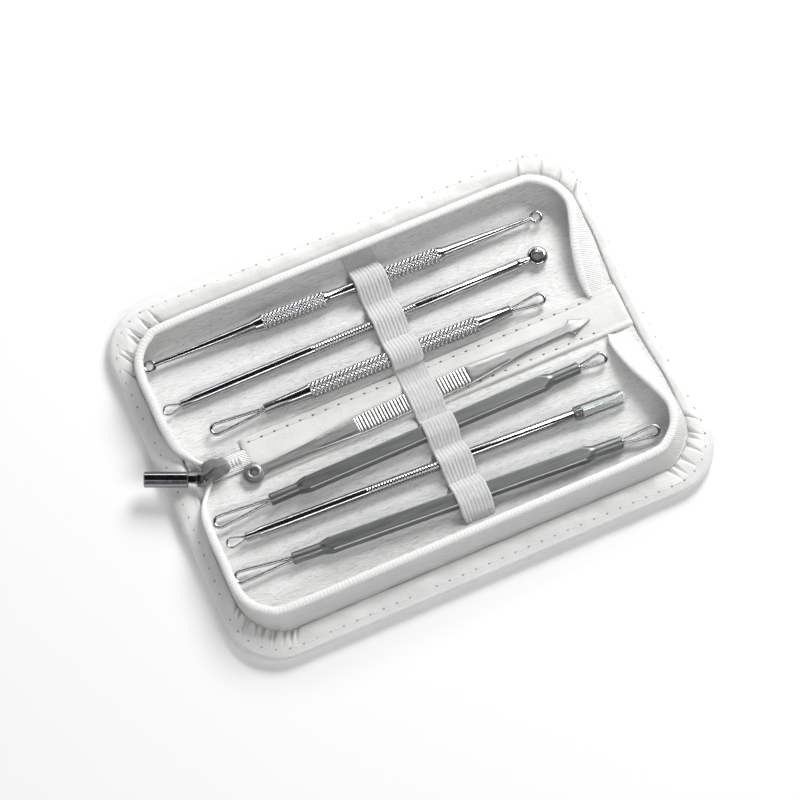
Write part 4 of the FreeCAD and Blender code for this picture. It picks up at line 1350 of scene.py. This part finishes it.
def make_curette():
    """Rod with two knurled grips and a ring at each end."""
    place = tool_place(CURETTE)
    shape = Shape()
    profile = fill_profile(CURETTE_PROFILE, CURETTE_GRIPS, KNURL_STEP)
    lathe(shape, profile, KNURL_SIDES, place, knurl(CURETTE_GRIPS))
    for x in CURETTE_RINGS:
        circle = [(x + CURETTE_RING_RADIUS * math.cos(angle), CURETTE_RING_RADIUS * math.sin(angle), 0)
                  for angle in turns(CURETTE_RING_STEPS)]
        tube(shape, circle, CURETTE_RING_WIRE, WIRE_SIDES, place, closed=True)
    body = shape.piece("curette_rod", [STEEL], ROD_ANGLE)
    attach(body, "curette_tool")
    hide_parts("curette")


def make_rod(name, tool, body, ends, ribs):
    """Plain round rod with fine ribs near its middle and a stepped left end."""
    left, right = ends
    shape = Shape()
    points = [(left + run, radius) for run, radius in ROD_LEFT_END]
    points += [(right - ROD_BEVEL, ROD_RADIUS), (right, ROD_RIGHT_RADIUS)]
    profile = fill_profile(points, (ribs,), ROD_RIB_STEP)
    lathe(shape, profile, ROD_SIDES, tool_place(tool), ring_ribs(*ribs))
    rod = shape.piece(f"{name}_rod", [STEEL], ROD_ANGLE)
    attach(rod, body)
    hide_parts(name)


def make_spoon_head():
    """Pierced round pressing head on a collared neck."""
    place = tool_place(SPOON)
    shape = Shape()
    lathe(shape, SPOON_NECK, SPOON_NECK_SIDES, place)
    turned_ring(shape, SPOON_SECTION, SPOON_SIDES, place @ Matrix.Translation((SPOON_HEAD_X, 0, 0)))
    head = shape.piece("spoon_head_cup", [STEEL])
    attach(head, "spoon_tool")
    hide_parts("spoon_head")


def make_knurled():
    shape = Shape()
    profile = fill_profile(KNURLED_PROFILE, (KNURLED_GRIP,), KNURL_STEP)
    lathe(shape, profile, KNURL_SIDES, tool_place(KNURLED), knurl((KNURLED_GRIP,)))
    handle = shape.piece("knurled_grip", [STEEL], ROD_ANGLE)
    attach(handle, "knurled_tool")
    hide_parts("knurled_handle")


def lancet_top(x, share):
    """Height of the lancet's upper face at a share of its half width."""
    thick = LANCET_THICKNESS * (1 - BLADE_THIN_SHARE * smooth_step((x - BLADE_START) / BLADE_RUN))
    drop = LANCET_EDGE_DROP * smooth_step((abs(share) - LANCET_EDGE_START_SHARE) / LANCET_EDGE_RUN_SHARE)
    rib = 0.0
    if LANCET_RIBS[0] < x < LANCET_RIBS[1] and abs(share) < LANCET_RIB_WIDTH_SHARE:
        rib = LANCET_RIB_HEIGHT * (triangle(x / LANCET_RIB_PITCH) - LANCET_RIB_BASE_SHARE)
    return thick - drop + rib


def make_lancet():
    """Flat tool: ribbed grip, arrow blade and rimmed eye."""
    place = tool_place(LANCET)
    shape = Shape()
    ends = [x for x, _ in LANCET_OUTLINE]
    halves = [half for _, half in LANCET_OUTLINE]
    xs = sorted({*ends, *np.arange(*LANCET_SPAN, LANCET_STEP), *np.arange(*LANCET_RIBS, LANCET_RIB_STEP)})
    rows = []
    for x in xs:
        half = float(np.interp(x, ends, halves))
        row = [place @ Vector((x, share * half, lancet_top(x, share))) for share in LANCET_ACROSS]
        for share in (1.0, 0.0, -1.0):
            row.append(place @ Vector((x, share * half * LANCET_UNDERSIDE_SHARE, LANCET_UNDERSIDE)))
        rows.append(row)
    shape.rings(rows)
    turned_ring(shape, EYE_SECTION, EYE_SIDES, place @ Matrix.Translation((EYE_X, 0, 0)))
    blade = shape.piece("lancet_plate", [BRUSHED], PLATE_ANGLE)
    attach(blade, "lancet_tool")
    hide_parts("lancet")


def bar_reach(angle, end_gap):
    """Distance from the axis to the bevelled square bar, cut by the cone of its ferrule."""
    c = abs(math.cos(angle))
    s = abs(math.sin(angle))
    square = min(BAR_HALF / max(c, s), (2 * BAR_HALF - BAR_BEVEL) / (c + s))
    bevel = FERRULE_BEVEL * (1 - smooth_step(end_gap / FERRULE_BEVEL))
    cone = FERRULE_RADIUS + max(end_gap - FERRULE_LENGTH, 0.0) * CONE_SLOPE_SHARE - bevel
    return min(square, cone)


def bar_stations(left, right):
    """Places along a bar, close together where the cones cut it."""
    overrun = CONE_STEP / 2
    left_cone = np.arange(left + FERRULE_LENGTH, left + CONE_END + overrun, CONE_STEP)
    right_cone = np.arange(right - CONE_END, right - FERRULE_LENGTH + overrun, CONE_STEP)
    even_part = np.linspace(left + BAR_EVEN_START, right - BAR_EVEN_START, BAR_EVEN_STEPS)
    ends = {left, left + FERRULE_BEVEL, right - FERRULE_BEVEL, right}
    return sorted({*ends, *left_cone, *right_cone, *even_part})


def make_square(name, tool, body, ends):
    """Square bar turned down to round ferrules, where the cone cuts scallops into the flats."""
    left, right = ends
    place = tool_place(tool)
    shape = Shape()
    edges = {corner + turn for corner in BAR_CORNERS for turn in (-BAR_EDGE_TURN, BAR_EDGE_TURN)}
    angles = sorted({*turns(BAR_SIDES), *edges})
    xs = bar_stations(left, right)
    rows = []
    for x in xs:
        row = []
        for angle in angles:
            reach = bar_reach(angle, min(x - left, right - x))
            row.append(place @ Vector((x, reach * math.cos(angle), reach * math.sin(angle))))
        rows.append(row)
    shape.rings(rows)
    # Bevel faces on the square part take the brighter steel: a painted highlight along the edges.
    for r, (start, stop) in enumerate(zip(xs, xs[1:])):
        on_square = min(start - left, right - stop) > BAR_HIGHLIGHT_START
        for c, (low, high) in enumerate(zip(angles, angles[1:])):
            off_corner = min(abs((low + high) / 2 - corner) for corner in BAR_CORNERS)
            if on_square and off_corner < BAR_HIGHLIGHT_SPAN:
                shape.slots[r * len(angles) + c] = BAR_HIGHLIGHT_SLOT
    bar = shape.piece(f"{name}_bar", [SATIN, EDGE_HIGHLIGHT], BAR_ANGLE)
    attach(bar, body)
    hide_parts(name)


def make_cap():
    """Clear cap with a rounded end over the needle."""
    shape = Shape()
    profile = [(CAP_MOUTH + run, radius) for run, radius in CAP_LIP]
    profile += [(CAP_END - run, radius) for run, radius in CAP_NOSE]
    profile.append((CAP_MOUTH, CAP_BORE))
    lathe(shape, profile + profile[:1], CAP_SIDES, tool_place(NEEDLE), caps=False)
    cap = shape.piece("needle_cap_shell", [CAP], ROD_ANGLE)
    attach(cap, "cap")
    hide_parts("needle_cap")


def make_loop_pair(tool_name, tool, ends):
    for label, root, way in (("left", ends[0], -1), ("right", ends[1], 1)):
        make_loop(f"{tool_name}_{label}_loop", tool, f"{tool_name}_tool", root, way)


def make_tools():
    make_curette()
    make_rod("spoon_handle", SPOON, "spoon_tool", SPOON_ENDS, SPOON_RIBS)
    make_loop("spoon_ring", SPOON, "spoon_tool", SPOON_ENDS[0], -1, RING_WIRE)
    make_spoon_head()
    make_knurled()
    make_loop_pair("knurled", KNURLED, KNURLED_ENDS)
    make_lancet()
    make_square("upper_handle", UPPER, "upper_tool", UPPER_ENDS)
    make_loop_pair("upper", UPPER, UPPER_ENDS)
    make_rod("needle_handle", NEEDLE, "needle_tool", NEEDLE_ENDS, NEEDLE_RIBS)
    make_loop("needle_ring", NEEDLE, "needle_tool", NEEDLE_ENDS[0], -1, RING_WIRE)
    make_cap()
    make_square("lower_handle", LOWER, "lower_tool", LOWER_ENDS)
    make_loop_pair("lower", LOWER, LOWER_ENDS)


def dress_nodes():
    """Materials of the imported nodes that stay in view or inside."""
    dressed = {"near_board": BOARD, "far_board": BOARD, "spine_core": BOARD, "slider_bridge": SLIDER,
               "zip_pull": PULL, "needle_point": STEEL}
    for node, material in dressed.items():
        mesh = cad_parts[node].data
        mesh.materials.clear()
        mesh.materials.append(material)


# Stage; lamps are (name, place, size, power)

FLOOR_REACH = 3.0
FLOOR_COLOUR = (0.86, 0.86, 0.86, 1)
FLOOR_GLOW = 0.08
ROOM_WALL = (0.25, (0.85, 0.87, 0.88, 1))
ROOM_CEILING = (0.8, (0.05, 0.05, 0.055, 1))
ROOM_STRENGTH = 0.3
LAMPS = (
    ("key", (0.52, 0.44, 0.60), (0.4, 0.4), 8.3),
    ("back_strip", (0.10, 0.80, 0.45), (1.0, 0.14), 2.4),
    ("front_strip", (0.10, -0.65, 0.70), (1.0, 0.2), 3.3),
    ("fill", (-0.55, -0.25, 0.6), (0.5, 0.5), 0.9),
)
CAMERA_TURN = math.radians(23.95)
CAMERA_TILT = math.radians(70.0)
CAMERA_RIGHT = -2.39
CAMERA_UP = -0.77
CAMERA_BACK = 921.1
CAMERA_AIM = Vector((0, 1.0, 0))
LENS = 144.0
SENSOR = 36.0
CLIP_NEAR = 0.05
CLIP_FAR = 20.0


def floor_material():
    """Matt white that also glows a little where it is seen directly, in metal or through the cap."""
    material = bpy.data.materials.new("floor_white")
    material.use_nodes = True
    tree = material.node_tree
    tree.nodes.clear()
    out = tree.nodes.new("ShaderNodeOutputMaterial")
    matt = tree.nodes.new("ShaderNodeBsdfDiffuse")
    matt.inputs["Color"].default_value = FLOOR_COLOUR
    glow = tree.nodes.new("ShaderNodeEmission")
    glow.inputs["Color"].default_value = (1, 1, 1, 1)
    path = tree.nodes.new("ShaderNodeLightPath")
    strength = tree.nodes.new("ShaderNodeMath")
    strength.operation = "MULTIPLY"
    strength.inputs[1].default_value = FLOOR_GLOW
    both = tree.nodes.new("ShaderNodeAddShader")
    seen = path.outputs["Is Camera Ray"]
    for ray in ("Is Glossy Ray", "Is Transmission Ray"):
        either = tree.nodes.new("ShaderNodeMath")
        either.operation = "MAXIMUM"
        tree.links.new(seen, either.inputs[0])
        tree.links.new(path.outputs[ray], either.inputs[1])
        seen = either.outputs["Value"]
    tree.links.new(seen, strength.inputs[0])
    tree.links.new(strength.outputs["Value"], glow.inputs["Strength"])
    tree.links.new(matt.outputs["BSDF"], both.inputs[0])
    tree.links.new(glow.outputs["Emission"], both.inputs[1])
    tree.links.new(both.outputs["Shader"], out.inputs["Surface"])
    return material


def make_floor():
    mesh = bpy.data.meshes.new("floor")
    corners = [(x * FLOOR_REACH, y * FLOOR_REACH, 0) for x, y in ((-1, -1), (1, -1), (1, 1), (-1, 1))]
    mesh.from_pydata(corners, [], [(0, 1, 2, 3)])
    mesh.materials.append(floor_material())
    floor = bpy.data.objects.new("floor", mesh)
    bpy.context.scene.collection.objects.link(floor)


def make_world():
    """Plain room: a dim ceiling over brighter walls."""
    world = bpy.data.worlds.new("studio")
    world.use_nodes = True
    tree = world.node_tree
    place = tree.nodes.new("ShaderNodeTexCoord")
    split = tree.nodes.new("ShaderNodeSeparateXYZ")
    ramp = tree.nodes.new("ShaderNodeValToRGB")
    for stop, (position, colour) in zip(ramp.color_ramp.elements, (ROOM_WALL, ROOM_CEILING)):
        stop.position = position
        stop.color = colour
    background = tree.nodes["Background"]
    background.inputs["Strength"].default_value = ROOM_STRENGTH
    tree.links.new(place.outputs["Generated"], split.inputs["Vector"])
    tree.links.new(split.outputs["Z"], ramp.inputs["Fac"])
    tree.links.new(ramp.outputs["Color"], background.inputs["Color"])
    bpy.context.scene.world = world


def area_light(name, place, size, power):
    """Lamp that faces the middle of the case."""
    light = bpy.data.lights.new(name, "AREA")
    light.shape = "RECTANGLE"
    light.size = size[0]
    light.size_y = size[1]
    light.energy = power
    lamp = bpy.data.objects.new(name, light)
    lamp.location = place
    lamp.rotation_euler = (-Vector(place)).to_track_quat("-Z", "Y").to_euler()
    bpy.context.scene.collection.objects.link(lamp)


def make_camera():
    ahead = math.cos(CAMERA_TILT)
    forward = Vector((math.sin(CAMERA_TURN) * ahead, math.cos(CAMERA_TURN) * ahead, -math.sin(CAMERA_TILT)))
    right = Vector((math.cos(CAMERA_TURN), -math.sin(CAMERA_TURN), 0))
    up = right.cross(forward)
    place = right * CAMERA_RIGHT + up * CAMERA_UP - forward * CAMERA_BACK + CAMERA_AIM
    camera = bpy.data.cameras.new("camera")
    camera.lens = LENS
    camera.sensor_width = SENSOR
    camera.clip_start = CLIP_NEAR
    camera.clip_end = CLIP_FAR
    eye = bpy.data.objects.new("camera", camera)
    eye.matrix_world = Matrix.Translation(place * MM) @ Matrix((right, up, -forward)).transposed().to_4x4()
    bpy.context.scene.collection.objects.link(eye)
    bpy.context.scene.camera = eye


def make_stage():
    make_floor()
    make_world()
    for lamp in LAMPS:
        area_light(*lamp)
    make_camera()
    bpy.context.scene.view_settings.view_transform = "Standard"


make_leather("far", 1)
make_leather("near", -1)
make_zip("far", 1, FAR_LEAD)
make_zip("near", -1, NEAR_LEAD)
make_lining("far", 1)
make_lining("near", -1)
make_strip()
make_spine_bed()
make_zip_tail()
make_slider()
make_straps()
make_tools()
dress_nodes()
make_stage()
